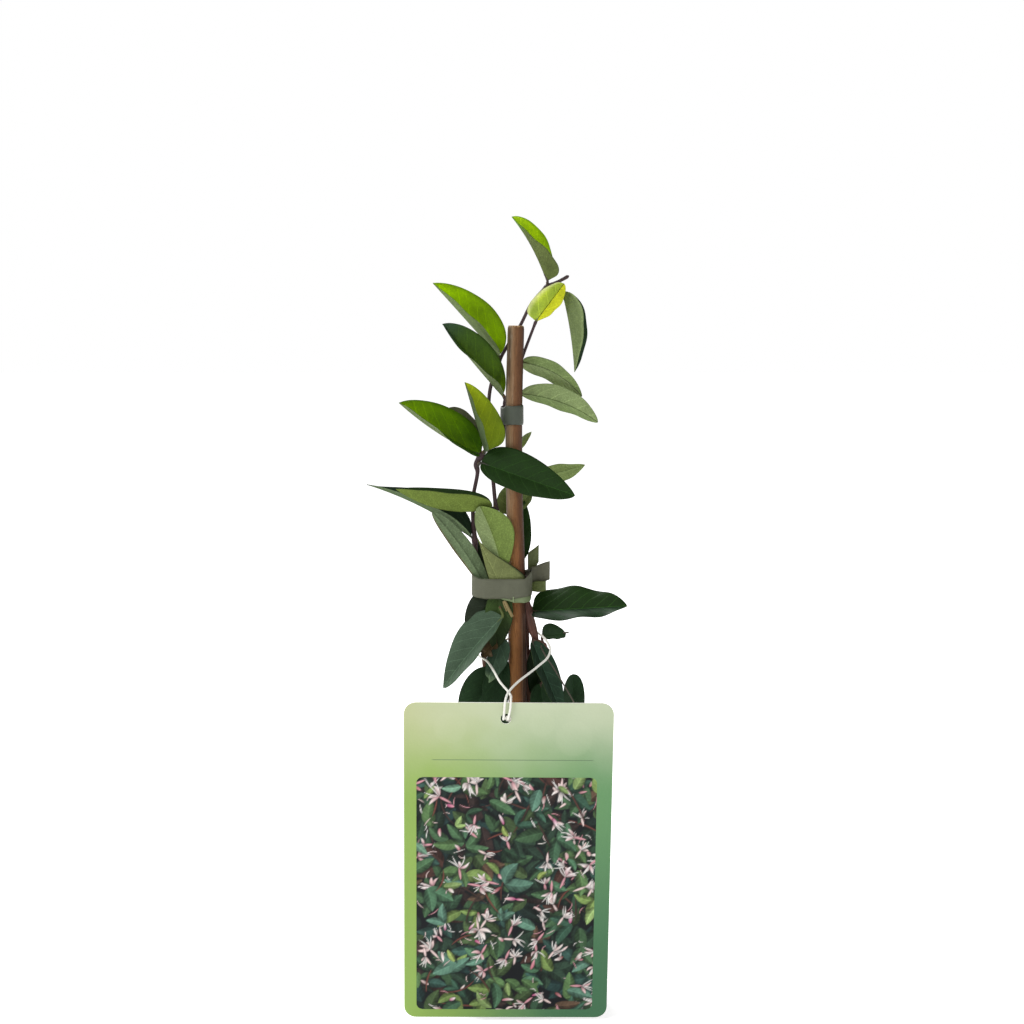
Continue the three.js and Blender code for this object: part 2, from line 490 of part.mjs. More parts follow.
const STRING_R = 0.55;
const STRING = [[-2, -47.3, 150.2], [-2, -49.6, 150.3], [-1.9, -51.1, 151.8], [-1.6, -51.4, 154.8],
  [-1.4, -51.5, 157.6], [-1, -50.9, 160], [-0.2, -48, 161.6], [1.9, -41, 162.8], [5.4, -33, 164.2],
  [10.2, -25, 165.9], [15.2, -18, 168.2], [18.9, -12, 170.2], [20.4, -7, 172.8], [19, -2.6, 175.9],
  [15.9, 3, 178], [14, 7, 178.4], [9.6, 11, 177.6], [3.4, 12.8, 175.4], [-6, 9.6, 171.6],
  [-14.6, 4.6, 168.6], [-14, 0.4, 168], [-10.4, -5, 167], [-7.2, -14, 164.8], [-3.9, -26, 162],
  [0, -38, 160.4], [1.4, -45.5, 160.1], [1.4, -50.4, 160.2], [1.3, -51.5, 157.8], [1, -51.4, 154.8],
  [0.3, -51.1, 151.8], [0, -49.6, 150.3], [0, -47.3, 150.2]];

function buildString() {
  const ring = Array.from({ length: 8 }, (_, k) => new THREE.Vector2(
    STRING_R * Math.cos((k * Math.PI) / 4), STRING_R * Math.sin((k * Math.PI) / 4)));
  return fromGeometry(new THREE.ExtrudeGeometry(new THREE.Shape(ring), {
    steps: 78, bevelEnabled: false,
    extrudePath: new THREE.CatmullRomCurve3(STRING.map(vec), false, 'centripetal'),
  }));
}

// ---------------------------------------------------------------- assembly
const plant = new THREE.Group();

function piece(name, geometry, colour, roughness) {
  const g = geometry.isBufferGeometry ? geometry : toGeometry(geometry);
  g.computeVertexNormals();
  const material = new THREE.MeshStandardMaterial({ color: colour, roughness, metalness: 0 });
  const mesh = new THREE.Mesh(g, material);
  mesh.name = name;
  plant.add(mesh);
  return mesh;
}

piece('pot', buildPot(), 0x26282a, 0.55);
piece('soil', buildSoil(), 0x3b2a1e, 0.95);
piece('cane', tube(cane.path, cane.r, 16, 2), 0x966441, 0.6);
piece('tall_shoot', shoot(tallShoot.stems, tallShoot.leaves), 0x55861e, 0.5);
piece('cane_shoot', shoot(caneShoot.stems, caneShoot.leaves), 0x5a7a3c, 0.5);
piece('left_shoot', shoot(leftShoot.stems, leftShoot.leaves), 0x3f6a1c, 0.5);
piece('low_left_shoot', shoot(lowLeftShoot.stems, lowLeftShoot.leaves), 0x4b6a50, 0.5);
piece('low_right_shoot', shoot(lowRightShoot.stems, lowRightShoot.leaves), 0x2c4a38, 0.5);
piece('upper_tie', buildUpperTie(), 0x4b504b, 0.5);
piece('lower_tie', buildLowerTie(), 0x5f6455, 0.5);

const card = piece('plant_card', buildCard(), 0xc8d2a6, 0.45);
card.rotation.set(CARD_LEAN, CARD_ROLL, CARD_YAW, 'ZYX');
card.position.set(...CARD_MID);

piece('card_string', buildString(), 0xeae8e0, 0.7);

export default plant;
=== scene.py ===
"""Looks of a young honeysuckle in a nursery pot: leaves, stems, cane, ties, plant card and string.

Points and lengths are millimetres in the part's own frame: +Z up, -Y the front, and the origin
in the middle of the pot's underside. A piece is scaled to metres when it becomes an object.
"""
import math
import random
from dataclasses import dataclass

import bmesh
import bpy
import numpy as np
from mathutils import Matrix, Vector, noise


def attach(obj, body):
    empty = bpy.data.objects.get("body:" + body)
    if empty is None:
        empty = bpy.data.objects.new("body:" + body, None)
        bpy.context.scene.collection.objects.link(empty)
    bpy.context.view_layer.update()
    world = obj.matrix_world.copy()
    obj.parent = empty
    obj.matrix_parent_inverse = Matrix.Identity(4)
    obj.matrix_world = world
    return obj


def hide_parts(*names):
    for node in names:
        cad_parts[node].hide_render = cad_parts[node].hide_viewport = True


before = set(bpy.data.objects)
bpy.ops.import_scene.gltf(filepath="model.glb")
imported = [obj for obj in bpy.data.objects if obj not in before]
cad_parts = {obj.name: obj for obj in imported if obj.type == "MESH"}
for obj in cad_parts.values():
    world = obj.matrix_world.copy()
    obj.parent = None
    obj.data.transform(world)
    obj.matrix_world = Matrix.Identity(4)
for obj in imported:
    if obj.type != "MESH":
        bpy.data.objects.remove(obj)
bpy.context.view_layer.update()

MM = 0.001
BODY = "root"
TURN = 2 * math.pi


# ---- small maths
def unit(a):
    return a / np.linalg.norm(a)


def ease(low, high, x):
    """0 below low, 1 above high, smooth in between."""
    t = np.clip((x - low) / (high - low), 0, 1)
    return t * t * (3 - 2 * t)


def hump(x, middle, spread):
    """1 in the middle, falling off to both sides."""
    return np.exp(-(((x - middle) / spread) ** 2))


def rgb(r, g, b):
    """A colour given on the screen's scale of 0 to 255, as linear values."""
    return np.array([c / 3294.6 if c < 10.4 else ((c / 255 + 0.055) / 1.055) ** 2.4 for c in (r, g, b)])


def rgba(r, g, b):
    return (*rgb(r, g, b), 1.0)


def rough_noise(p, scale, seed=0.0):
    return noise.noise(Vector((p[0] / scale + seed, p[1] / scale - seed, p[2] / scale + 2 * seed)))


def spans(line):
    """The lengths between a line's points."""
    return np.linalg.norm(np.diff(line, axis=0), axis=1)


def run_along(line):
    """How far along the line each of its points is."""
    return np.concatenate([[0], np.cumsum(spans(line))])


def circle(sides):
    """The angles of a ring's points."""
    return np.arange(sides) * TURN / sides


def turned_about(axis, angle):
    """A turn about the x, y or z axis, which are 0, 1 and 2."""
    i, j = (axis + 1) % 3, (axis + 2) % 3
    turn = np.eye(3)
    turn[i, i] = turn[j, j] = math.cos(angle)
    turn[i, j], turn[j, i] = -math.sin(angle), math.sin(angle)
    return turn


def spline(points, count, closed=False):
    """Centripetal curve through the points: count places along it, from the first to the last point."""
    p = np.array(points, float)
    if closed:
        padded = np.vstack([p[-1], p, p[0], p[1]])
        pieces = len(p)
        places = np.arange(count) * pieces / count
    else:
        padded = np.vstack([2 * p[0] - p[1], p, 2 * p[-1] - p[-2]])
        pieces = len(p) - 1
        places = np.linspace(0, pieces, count)
    out = []
    for t in places:
        i = min(int(t), pieces - 1)
        w = t - i
        a, b, c, d = padded[i : i + 4]
        ab, bc, cd = (max(np.linalg.norm(q), 1e-6) ** 0.5 for q in (b - a, c - b, d - c))
        m = ((b - a) / ab - (c - a) / (ab + bc) + (c - b) / bc) * bc
        n = ((c - b) / bc - (d - b) / (bc + cd) + (d - c) / cd) * bc
        out.append(b + m * w + (3 * (c - b) - 2 * m - n) * w**2 + (2 * (b - c) + m + n) * w**3)
    return np.array(out), places


def frames_along(line):
    """Two directions across a line at each of its points, turning as little as they can."""
    ahead = np.gradient(line, axis=0)
    ahead /= np.linalg.norm(ahead, axis=1)[:, None]
    side = np.array([0.0, 1.0, 0.0]) if abs(ahead[0][1]) < 0.9 else np.array([1.0, 0.0, 0.0])
    sides, others = [], []
    for d in ahead:
        side = unit(side - d * np.dot(side, d))
        sides.append(side)
        others.append(np.cross(d, side))
    return np.array(sides), np.array(others)


# ---- meshes
class Form:
    """Gathers a piece's points, faces and paint, in millimetres."""

    def __init__(self):
        self.points, self.faces, self.tint, self.grid, self.flat = [], [], [], [], []
        self.upper, self.through, self.part = [], [], []
        self.count = 0

    def add(self, points, faces, tint, grid=None, flat=None, upper=None, through=None, part=0):
        n = len(points)
        self.points.append(np.asarray(points, float))
        self.faces += [[i + self.count for i in f] for f in faces]
        self.part += [part] * len(faces)
        tint = np.asarray(tint, float)
        self.tint.append(np.broadcast_to(tint, (n, tint.shape[-1])))
        self.grid.append(np.zeros((n, 2)) if grid is None else grid)
        self.flat.append(np.zeros((n, 2)) if flat is None else flat)
        self.upper.append(np.ones(n) if upper is None else upper)
        self.through.append(np.zeros(n) if through is None else through)
        self.count += n

    def become(self, name, materials, slot, smooth=True, stands_for=()):
        """Makes the object, which rides on the body and may stand for nodes."""
        mesh = bpy.data.meshes.new(name)
        mesh.from_pydata((np.vstack(self.points) * MM).tolist(), [], self.faces)
        for m in materials:
            mesh.materials.append(m)
        mesh.polygons.foreach_set("material_index", self.part)
        mesh.polygons.foreach_set("use_smooth", [smooth] * len(self.faces))
        corners = np.zeros(len(mesh.loops), int)
        mesh.loops.foreach_get("vertex_index", corners)
        for key, values in (("grid", self.grid), ("flat", self.flat)):
            layer = mesh.uv_layers.new(name=key)
            layer.data.foreach_set("uv", np.vstack(values)[corners].ravel())
        tint = np.vstack(self.tint)
        if tint.shape[1] == 3:
            tint = np.hstack([tint, np.ones((len(tint), 1))])
        mesh.attributes.new("tint", "FLOAT_COLOR", "POINT").data.foreach_set("color", tint.ravel())
        for key, values in (("upper", self.upper), ("through", self.through)):
            mesh.attributes.new(key, "FLOAT", "POINT").data.foreach_set("value", np.hstack(values))
        mesh.validate()
        made = bpy.data.objects.new(name, mesh)
        bpy.context.scene.collection.objects.link(made)
        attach(made, BODY)
        if stands_for:
            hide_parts(*stands_for)
        return made


def weld(made, distance=1e-6):
    """Joins points that lie on each other, and turns every face outward."""
    b = bmesh.new()
    b.from_mesh(made.data)
    bmesh.ops.remove_doubles(b, verts=b.verts, dist=distance)
    bmesh.ops.recalc_face_normals(b, faces=b.faces)
    b.to_mesh(made.data)
    b.free()


def cut_away(made, form):
    """Takes the form's shapes out of a piece."""
    tool = form.become("cutter", [made.data.materials[0]], "pot_plastic")
    cut = made.modifiers.new("cut", "BOOLEAN")
    cut.operation, cut.object, cut.solver = "DIFFERENCE", tool, "EXACT"
    bpy.context.view_layer.update()
    whole = bpy.data.meshes.new_from_object(made.evaluated_get(bpy.context.evaluated_depsgraph_get()))
    made.modifiers.clear()
    made.data = whole
    bpy.data.objects.remove(tool)


def rings(rows, sides, closed_ends=True, loop=False):
    """Faces of a tube whose points run ring by ring."""
    faces = []
    for i in range(rows if loop else rows - 1):
        a, b = i * sides, ((i + 1) % rows) * sides
        for k in range(sides):
            m = (k + 1) % sides
            faces.append([a + k, a + m, b + m, b + k])
    if closed_ends and not loop:
        faces.append(list(range(sides))[::-1])
        faces.append([(rows - 1) * sides + k for k in range(sides)])
    return faces


def skin_round(line, radii, sides):
    """Rings of points round a line. radii: one for each point of each ring, or a column of one a ring."""
    across, up = frames_along(line)
    turn = circle(sides)
    ring = across[:, None] * np.cos(turn)[None, :, None] + up[:, None] * np.sin(turn)[None, :, None]
    return (line[:, None] + ring * radii[..., None]).reshape(-1, 3)


def unrolled(run, sides):
    """A skin's own coordinates: once round it, and along it in tenths of a metre."""
    return np.stack([np.tile(circle(sides) / TURN, len(run)), np.repeat(run / 100, sides)], axis=1)


JOINT_SWELL, JOINT_SPREAD = 0.38, 2.1     # how much thicker a stem is where a stalk leaves it, and how far


def tube(form, points, radii, tint, sides=14, step=0.8, swell=(), round_end=0.0):
    """A round stem. radii: one for each point. swell: points where it is thicker. round_end: the length
    over which it rounds off at its end. tint: a colour, or a function of the point and the share."""
    count = max(4, int(spans(np.array(points, float)).sum() / step) + 1)
    line, places = spline(points, count)
    r = np.interp(places, np.linspace(0, len(points) - 1, len(radii)), radii)
    for at in swell:
        r = r * (1 + JOINT_SWELL * hump(np.linalg.norm(line - np.array(at), axis=1), 0, JOINT_SPREAD))
    run = run_along(line)
    if round_end:
        r = r * np.sqrt(np.clip((run[-1] - run) / round_end, 0.05, 1))
    if callable(tint):
        tints = [tint(p, t / (len(points) - 1)) for p, t in zip(line, places)]
        tint = np.repeat(np.array(tints), sides, axis=0)
    form.add(skin_round(line, r[:, None], sides), rings(count, sides), tint, flat=unrolled(run, sides))


# ---- paint
class Value:
    """A socket's output. Arithmetic on it adds Math nodes."""

    def __init__(self, paint, socket):
        self.paint, self.socket = paint, socket

    def _math(self, operation, a, b=0.0):
        return self.paint.node("Math", {"operation": operation}, {0: a, 1: b})

    def __add__(self, other):
        return self._math("ADD", self, other)

    def __sub__(self, other):
        return self._math("SUBTRACT", self, other)

    def __rsub__(self, other):
        return self._math("SUBTRACT", other, self)

    def __mul__(self, other):
        return self._math("MULTIPLY", self, other)

    def __truediv__(self, other):
        return self._math("DIVIDE", self, other)

    def __pow__(self, other):
        return self._math("POWER", self, other)

    def __gt__(self, other):
        return self._math("GREATER_THAN", self, other)

    def __abs__(self):
        return self._math("ABSOLUTE", self)

    __radd__, __rmul__ = __add__, __mul__

    def part(self):
        return self._math("FRACT", self)

    def wave(self):
        return self._math("SINE", self)

    def rise(self, low, high):
        """0 at low, 1 at high, smooth in between."""
        settings = {"interpolation_type": "SMOOTHSTEP"}
        return self.paint.node("MapRange", settings, {0: self, 1: low, 2: high, 3: 0.0, 4: 1.0})

    def split(self):
        """The x and y of a vector."""
        outputs = self.paint.node("SeparateXYZ", {}, {0: self}).socket.node.outputs
        return Value(self.paint, outputs[0]), Value(self.paint, outputs[1])


class Paint:
    """One material and its nodes."""

    def __init__(self, name):
        self.material = bpy.data.materials.new(name)
        self.material.use_nodes = True
        self.tree = self.material.node_tree
        self.tree.nodes.clear()

    def node(self, kind, settings, sockets, out=0):
        made = self.tree.nodes.new("ShaderNode" + kind)
        for key, value in settings.items():
            setattr(made, key, value)
        for key, value in sockets.items():
            if isinstance(value, Value):
                self.tree.links.new(value.socket, made.inputs[key])
            else:
                made.inputs[key].default_value = value
        return Value(self, made.outputs[out])

    def uv(self, name):
        return self.node("UVMap", {"uv_map": name}, {})

    def tint(self):
        return self.node("Attribute", {"attribute_name": "tint"}, {})

    def strength(self):
        """The tint's fourth number."""
        return self.node("Attribute", {"attribute_name": "tint"}, {}, out=3)

    def number(self, name):
        return self.node("Attribute", {"attribute_name": name}, {}, out=2)

    def at(self):
        """Where the surface is, in metres."""
        return self.node("TexCoord", {}, {}, out=3)

    def vector(self, x, y, z=0.0):
        return self.node("CombineXYZ", {}, {0: x, 1: y, 2: z})

    def about_stem(self, width, stretch):
        """Coordinates that meet where a stem's skin closes: round it, and along it."""
        x, y = self.uv("flat").split()
        turn = x * TURN
        return self.vector(turn.wave() * width, (turn + TURN / 4).wave() * width, y * stretch)

    def noise(self, where, scale, detail=3.0, roughness=0.55):
        sockets = {"Vector": where, "Scale": scale, "Detail": detail, "Roughness": roughness}
        return self.node("TexNoise", {}, sockets)

    def cells(self, where, scale):
        """How far it is to the nearest wall between cells."""
        return self.node("TexVoronoi", {"feature": "DISTANCE_TO_EDGE"}, {"Vector": where, "Scale": scale})

    def mix(self, share, a, b):
        return self.node("Mix", {"data_type": "RGBA"}, {0: share, 6: a, 7: b}, out=2)

    def scaled(self, colour, by):
        return self.node("VectorMath", {"operation": "SCALE"}, {0: colour, "Scale": by})

    def bump(self, height, distance, strength):
        return self.node("Bump", {}, {"Height": height, "Distance": distance, "Strength": strength})

    def surface(self, colour, rough, normal, gloss=0.5):
        sockets = {"Base Color": colour, "Roughness": rough, "Normal": normal, "Specular IOR Level": gloss}
        return self.node("BsdfPrincipled", {}, sockets)

    def done(self, shader):
        output = self.tree.nodes.new("ShaderNodeOutputMaterial")
        self.tree.links.new(shader.socket, output.inputs["Surface"])
        return self.material


VEIN_STEP = 6.8          # between two side veins, along the midrib
VEIN_LEAN = 0.85         # a side vein runs this much forward for each millimetre outward
VEIN_CURL = 0.045
VEIN_EDGE = (0.446, 0.486)     # where a vein starts and is whole, as a share of the step to the next
VEIN_FADE = (0.36, 0.49)       # where the veins fade, toward the margin
MIDRIB_EDGE = (0.1, 0.38)      # where the midrib is whole and ends, from the middle


def vein_phase(along, out, right):
    """Grows by 1 from each side vein to the next. It works on numbers and on a shader's values."""
    return (along - out * VEIN_LEAN - out * out * VEIN_CURL) / VEIN_STEP + right * 0.5


def leaf_paint(name, glow):
    """A leaf blade: its painted tint, with midrib, side veins, a fine net and some light coming through."""
    p = Paint(name)
    flat = p.uv("flat")
    x, y = flat.split()
    v = p.uv("grid").split()[1]
    out = abs(x - 0.5) * 100.0
    sway = (p.noise(flat, 9.0, 2.0) - 0.5) * 0.5
    to_vein = abs((vein_phase(y * 100.0, out, x > 0.5) + sway).part() - 0.5)
    side = to_vein.rise(*VEIN_EDGE) * (1 - abs(v - 0.5).rise(*VEIN_FADE))
    middle = 1 - out.rise(*MIDRIB_EDGE)
    cells = p.cells(flat, 105.0).rise(0.0, 0.28)
    mottle = p.noise(flat, 22.0, 4.0, 0.6)
    grain = p.noise(flat, 300.0, 2.0)
    upper = p.number("upper")
    light = (p.strength() - 0.5) * 2.0                    # below 0, the midrib is darker than the blade
    specks = p.noise(flat, 120.0, 2.0).rise(0.5, 0.66) * (1 - upper * 0.75)
    net = cells * (0.22 - upper * 0.08) + grain * (0.36 - upper * 0.16)
    tone = 0.46 + mottle * 0.56 + net + specks * 0.28
    colour = p.scaled(p.tint(), tone * (1 + middle * light + side * abs(light) * 0.75))
    relief = (0.45 - upper) * (middle * 1.2 + side * 0.6) + cells * 0.12 + grain * 0.15 + mottle * 0.4
    bump = p.bump(relief, 0.0005, 0.5)
    blade = p.surface(colour, 0.85 - upper * 0.3 + (mottle - 0.5) * 0.3, bump, gloss=0.09)
    through = p.node("BsdfTranslucent", {}, {"Color": glow, "Normal": bump})
    clear = 0.66 + cells * 0.14 + mottle * 0.45 + side * 0.35 - middle * 0.4 + grain * 0.1
    return p.done(p.node("MixShader", {}, {0: p.number("through") * clear, 1: blade, 2: through}))


def stem_paint():
    """Bark of the stems and stalks: fine ridges along them and paler flecks."""
    p = Paint("stem_bark")
    ridges = p.noise(p.about_stem(0.6, 6.0), 5.0, 3.0)
    flecks = p.noise(p.at(), 900.0, 2.0).rise(0.6, 0.75)
    colour = p.scaled(p.tint(), 0.62 + ridges * 0.76 + flecks * 0.35)
    return p.done(p.surface(colour, 0.5 + ridges * 0.25, p.bump(ridges, 0.0003, 0.7)))


def cane_paint():
    """Split, weathered wood: long fibres, grey weathered patches that the tint's fourth number keeps to the
    lit left side, where they also paint a highlight, and darker cracks.
    """
    p = Paint("cane_wood")
    fibres = p.about_stem(1.0, 1.1)
    coarse = p.noise(fibres, 3.2, 4.0)
    fine = p.noise(fibres, 13.0, 3.0)
    spots = p.noise(p.at(), 240.0, 3.0)
    warm = p.scaled(p.tint(), 0.6 + coarse * 0.5 + fine * 0.3)
    # grey weathered patches, held to the lit left side by the tint's fourth number, where they also paint a
    # highlight
    worn = (coarse * 0.5 + fine * 0.3 + spots * 0.2).rise(0.48, 0.66) * p.strength()
    cracks = 1 - abs(fine - 0.5).rise(0.0, 0.03)
    colour = p.scaled(p.mix(worn, warm, rgba(166, 152, 130)), 1 - cracks * 0.3)
    bump = p.bump(fine * 0.8 + coarse - cracks * 0.5, 0.0004, 0.7)
    return p.done(p.surface(colour, 0.42 + spots * 0.3, bump, gloss=0.22))


def tape_paint():
    """Soft tying tape: slightly stretched, with fine ribs and a dull sheen."""
    p = Paint("tape")
    x, y = p.uv("flat").split()
    clouds = p.noise(p.at(), 120.0, 3.0)
    stretch = p.noise(p.vector(x * 120.0, y * 3.0), 3.0, 2.0)
    colour = p.scaled(p.tint(), 0.78 + clouds * 0.3 + stretch * 0.16)
    bump = p.bump(stretch * 0.6 + clouds, 0.0004, 0.5)
    return p.done(p.surface(colour, 0.42 + clouds * 0.2, bump, gloss=0.35))


def plain_paint(name, scale, low, high, rough, depth):
    """A tinted finish whose tone varies a little: low to high times the tint."""
    p = Paint(name)
    clouds = p.noise(p.at(), scale, 4.0)
    grain = p.noise(p.at(), scale * 7, 2.0)
    colour = p.scaled(p.tint(), low + (clouds * 0.6 + grain * 0.4) * (high - low))
    bump = p.bump(clouds + grain * 0.6, depth, 0.8)
    return p.done(p.surface(colour, rough + (clouds - 0.5) * 0.2, bump))


# ---- leaves
ROWS, COLUMNS = 57, 29
BLADE = 0.26             # thickness of a blade
RIB, RIB_WIDTH = 0.5, 0.45     # how far the midrib stands out underneath, and how wide it is
LEAST_HALF, LEAST_TIP = 0.45, 0.12          # least width of a half, at the base and at the tip
STALK_END = 0.1          # how far along the midrib the stalk runs
LIMY, GREEN, GOLDEN, SOFT, OLD = range(5)   # which of the leaf materials a leaf has


@dataclass
class Half:
    """Half a leaf."""

    width: float             # its greatest width, laid flat
    fold: float              # the angle that it folds up by, in degrees
    blunt: float = 0.5       # the powers that round it off toward the base
    taper: float = 0.8       # and toward the tip
    tip: float = None        # the fold's angle at the tip, if that differs

    def width_at(self, u):
        """How wide it is at the share u of the leaf's length."""
        a, b = self.blunt, self.taper
        peak = (a / (a + b)) ** a * (b / (a + b)) ** b
        least = LEAST_HALF * (1 - u) + LEAST_TIP * u
        return np.maximum(self.width * u**a * (1 - u) ** b / peak, least)

    def fold_at(self, u):
        return np.interp(u, (0, 1), (self.fold, self.fold if self.tip is None else self.tip))


@dataclass
class Leaf:
    """One leaf. The tint of a face is one colour, or two for its left and its right half, which paint light
    on one half and shade on the other.
    """

    base: list               # the midrib's ends
    tip: list
    n: list                  # the way the upper face looks
    right: Half
    left: Half
    top: object              # tint of the upper face
    under: object            # and of the face beneath
    arch: float = 0          # the midrib's bow, toward n
    bend: float = 0          # and sideways
    wave: float = 0          # height of the waves in the margin
    waves: float = 2         # and how many
    start: list = None       # where the stalk leaves the stem
    cup: float = 0.05        # how far each half bulges
    veins: float = 0.2       # how much lighter the veins are above
    back: float = -0.14      # and beneath
    kind: int = OLD
    through: tuple = (0.05, 0.05)  # light that comes through, at the base and at the tip
    near: float = 0.4        # the share of it in the left half
    edge: float = 0.35       # ripple of the margin
    tipped: tuple = None     # colour toward the tip, where it starts and where it is whole
    rim: tuple = None        # colour of a margin, its side (-1 left, 1 right), and where it starts
    quilt: float = 0.05      # how far the blade swells between its veins
    stalk: object = None     # tint of the stalk, if it isn't made from the others


def blade_faces():
    """Faces of two sheets of ROWS by COLUMNS points, and of the margin that joins them."""
    n = ROWS * COLUMNS
    faces = []
    for i in range(ROWS - 1):
        for j in range(COLUMNS - 1):
            k = i * COLUMNS + j
            faces.append([k, k + 1, k + COLUMNS + 1, k + COLUMNS])
            faces.append([n + k, n + k + COLUMNS, n + k + COLUMNS + 1, n + k + 1])
    edge = [i * COLUMNS for i in range(ROWS)] + [(ROWS - 1) * COLUMNS + j for j in range(1, COLUMNS)]
    edge += [i * COLUMNS + COLUMNS - 1 for i in range(ROWS - 2, -1, -1)] + list(range(COLUMNS - 2, 0, -1))
    return faces + [[i, j, n + j, n + i] for i, j in zip(edge, edge[1:] + edge[:1])]


BLADE_FACES = blade_faces()


def blade_tints(leaf, u, v, shade):
    """Tints of the upper face and the face beneath. Their fourth number says how light the veins are."""
    tints = []
    for colours, contrast in ((leaf.top, leaf.veins), (leaf.under, leaf.back)):
        # two tints for the halves paint light on one half and shade on the other
        left, right = colours if isinstance(colours, tuple) else (colours, colours)
        tint = np.where((v > 0)[..., None], right, left) * (1 + 0.16 * shade)
        if leaf.tipped:
            colour, low, high = leaf.tipped
            tint = tint + (colour - tint) * ease(low, high, u)[..., None]
        if leaf.rim:
            colour, which, begin = leaf.rim
            tint = tint + (colour - tint) * ease(begin, 1.0, v * which)[..., None] * (1 + 0.3 * shade)
        tint = tint * (1 - 0.2 * ease(0.92, 1.0, np.abs(v)))[..., None]
        strength = np.full((ROWS, COLUMNS, 1), 0.5 + contrast)
        tints.append(np.concatenate([tint, strength], axis=2).reshape(-1, 4))
    return np.vstack(tints)


def blade(form, leaf, seed):
    """Adds a leaf's blade to the form, and gives the point beneath its midrib where the stalk ends."""
    base, tip = np.array(leaf.base, float), np.array(leaf.tip, float)
    along = tip - base
    length = np.linalg.norm(along)
    across = unit(np.cross(along / length, np.array(leaf.n, float)))
    face = np.cross(across, along / length)
    # u runs along the midrib, v from the left margin to the right
    t = np.linspace(0, 1, ROWS)
    u = (0.45 * t + 0.55 * (0.5 - 0.5 * np.cos(math.pi * t)))[:, None]
    v = np.linspace(-1, 1, COLUMNS)[None, :]
    v = np.sign(v) * np.abs(v) ** 0.92
    right = v > 0
    half = np.where(right, leaf.right.width_at(u), leaf.left.width_at(u))
    fold = np.radians(np.where(right, leaf.right.fold_at(u), leaf.left.fold_at(u)))
    out = np.abs(v) * half
    bow = 4 * u * (1 - u)
    soft = np.sqrt(out**2 + 0.5) - math.sqrt(0.5)
    ripple = leaf.wave * v**2 * np.sin(TURN * leaf.waves * u + np.where(v < 0, 1.3, 0))
    swell = 1 + np.cos(TURN * vein_phase(u * length, out, right))
    quilt = leaf.quilt * swell * ease(0, 2.5, out) * (1 - v**4)
    swing = random.Random(seed).uniform(0, 6.28)
    margin = leaf.edge * np.abs(v) ** 3 * bow * np.sin(TURN * (2.6 * u + 0.4 * np.sign(v)) + swing)
    bulge = leaf.cup * half * np.sin(math.pi * np.abs(v)) * bow + quilt + margin
    lift = bow * leaf.arch + soft * np.sin(fold) + ripple + bulge * np.cos(fold)
    shift = bow * leaf.bend + np.sign(v) * (out * np.cos(fold) - bulge * np.sin(fold))
    mid = base + along * u[..., None] + face * lift[..., None] + across * shift[..., None]
    normal = np.cross(np.gradient(mid, axis=1), np.gradient(mid, axis=0))
    normal /= np.linalg.norm(normal, axis=2)[..., None]
    thin = BLADE / 2 * (1 - 0.5 * v**6)
    rib = RIB * hump(out, 0, RIB_WIDTH) * (1 - 0.75 * u)
    above, below = mid + normal * (thin - rib * 0.25)[..., None], mid - normal * (thin + rib)[..., None]

    shade = np.array([rough_noise((uu * 3, vv * 2, seed), 1.0) for uu in u[:, 0] for vv in v[0]])
    shade = shade.reshape(ROWS, COLUMNS, 1)
    light = np.interp(u, (0, 1), leaf.through) * np.where(right, 1, leaf.near) * (1 + 0.3 * shade[..., 0])
    light = (light * (1 - 0.35 * ease(0.8, 1.0, np.abs(v)))).ravel()
    grid = np.stack([u + 0 * v, (v + 1) / 2 + 0 * u], axis=2).reshape(-1, 2)
    own_place = u * length / 100 + 0 * v + seed * 0.61
    flat = np.stack([np.sign(v) * out / 100 + 0.5, own_place], axis=2).reshape(-1, 2)
    form.add(np.vstack([above.reshape(-1, 3), below.reshape(-1, 3)]), BLADE_FACES,
             blade_tints(leaf, u, v, shade), np.vstack([grid] * 2), np.vstack([flat] * 2),
             np.repeat([1.0, 0.0], ROWS * COLUMNS), np.hstack([light] * 2), part=leaf.kind)
    row, column = np.argmin(np.abs(u[:, 0] - STALK_END)), COLUMNS // 2
    return mid[row, column] - normal[row, column] * (BLADE / 2 + RIB * 0.5)


# tints of leaves and stems, on the screen's scale; the dark tints of the lower leaves are their own deeper
# green and also painted shade
FERN, YELLOW, OLIVE, MOSS = rgb(58, 86, 32), rgb(160, 190, 40), rgb(106, 122, 70), rgb(90, 106, 40)
SAGE, GREY, PALE, ASH = rgb(112, 130, 82), rgb(102, 116, 76), rgb(124, 140, 94), rgb(80, 96, 66)
BOTTLE, BLUISH, SLATE = rgb(28, 52, 16), rgb(76, 96, 76), rgb(36, 54, 38)
DARK, INK = rgb(32, 54, 32), rgb(21, 36, 19)
# the first colour here is painted shade: it tints a leaf that fills a shaded gap and a shadow line along a
# margin
SHADOW_GREEN, DRIED, DRIED_DARK = rgb(30, 40, 26), rgb(86, 70, 48), rgb(46, 38, 28)
BARK, WINE, TWIG = rgb(96, 58, 44), rgb(52, 30, 34), rgb(72, 66, 54)


def spread_leaf(base, tip, n, width, fold, arch, start):
    """A plain leaf that spreads from low down on a shoot."""
    return Leaf(base, tip, n, Half(width, fold), Half(width, fold), DARK, OLIVE, arch=arch, start=start)


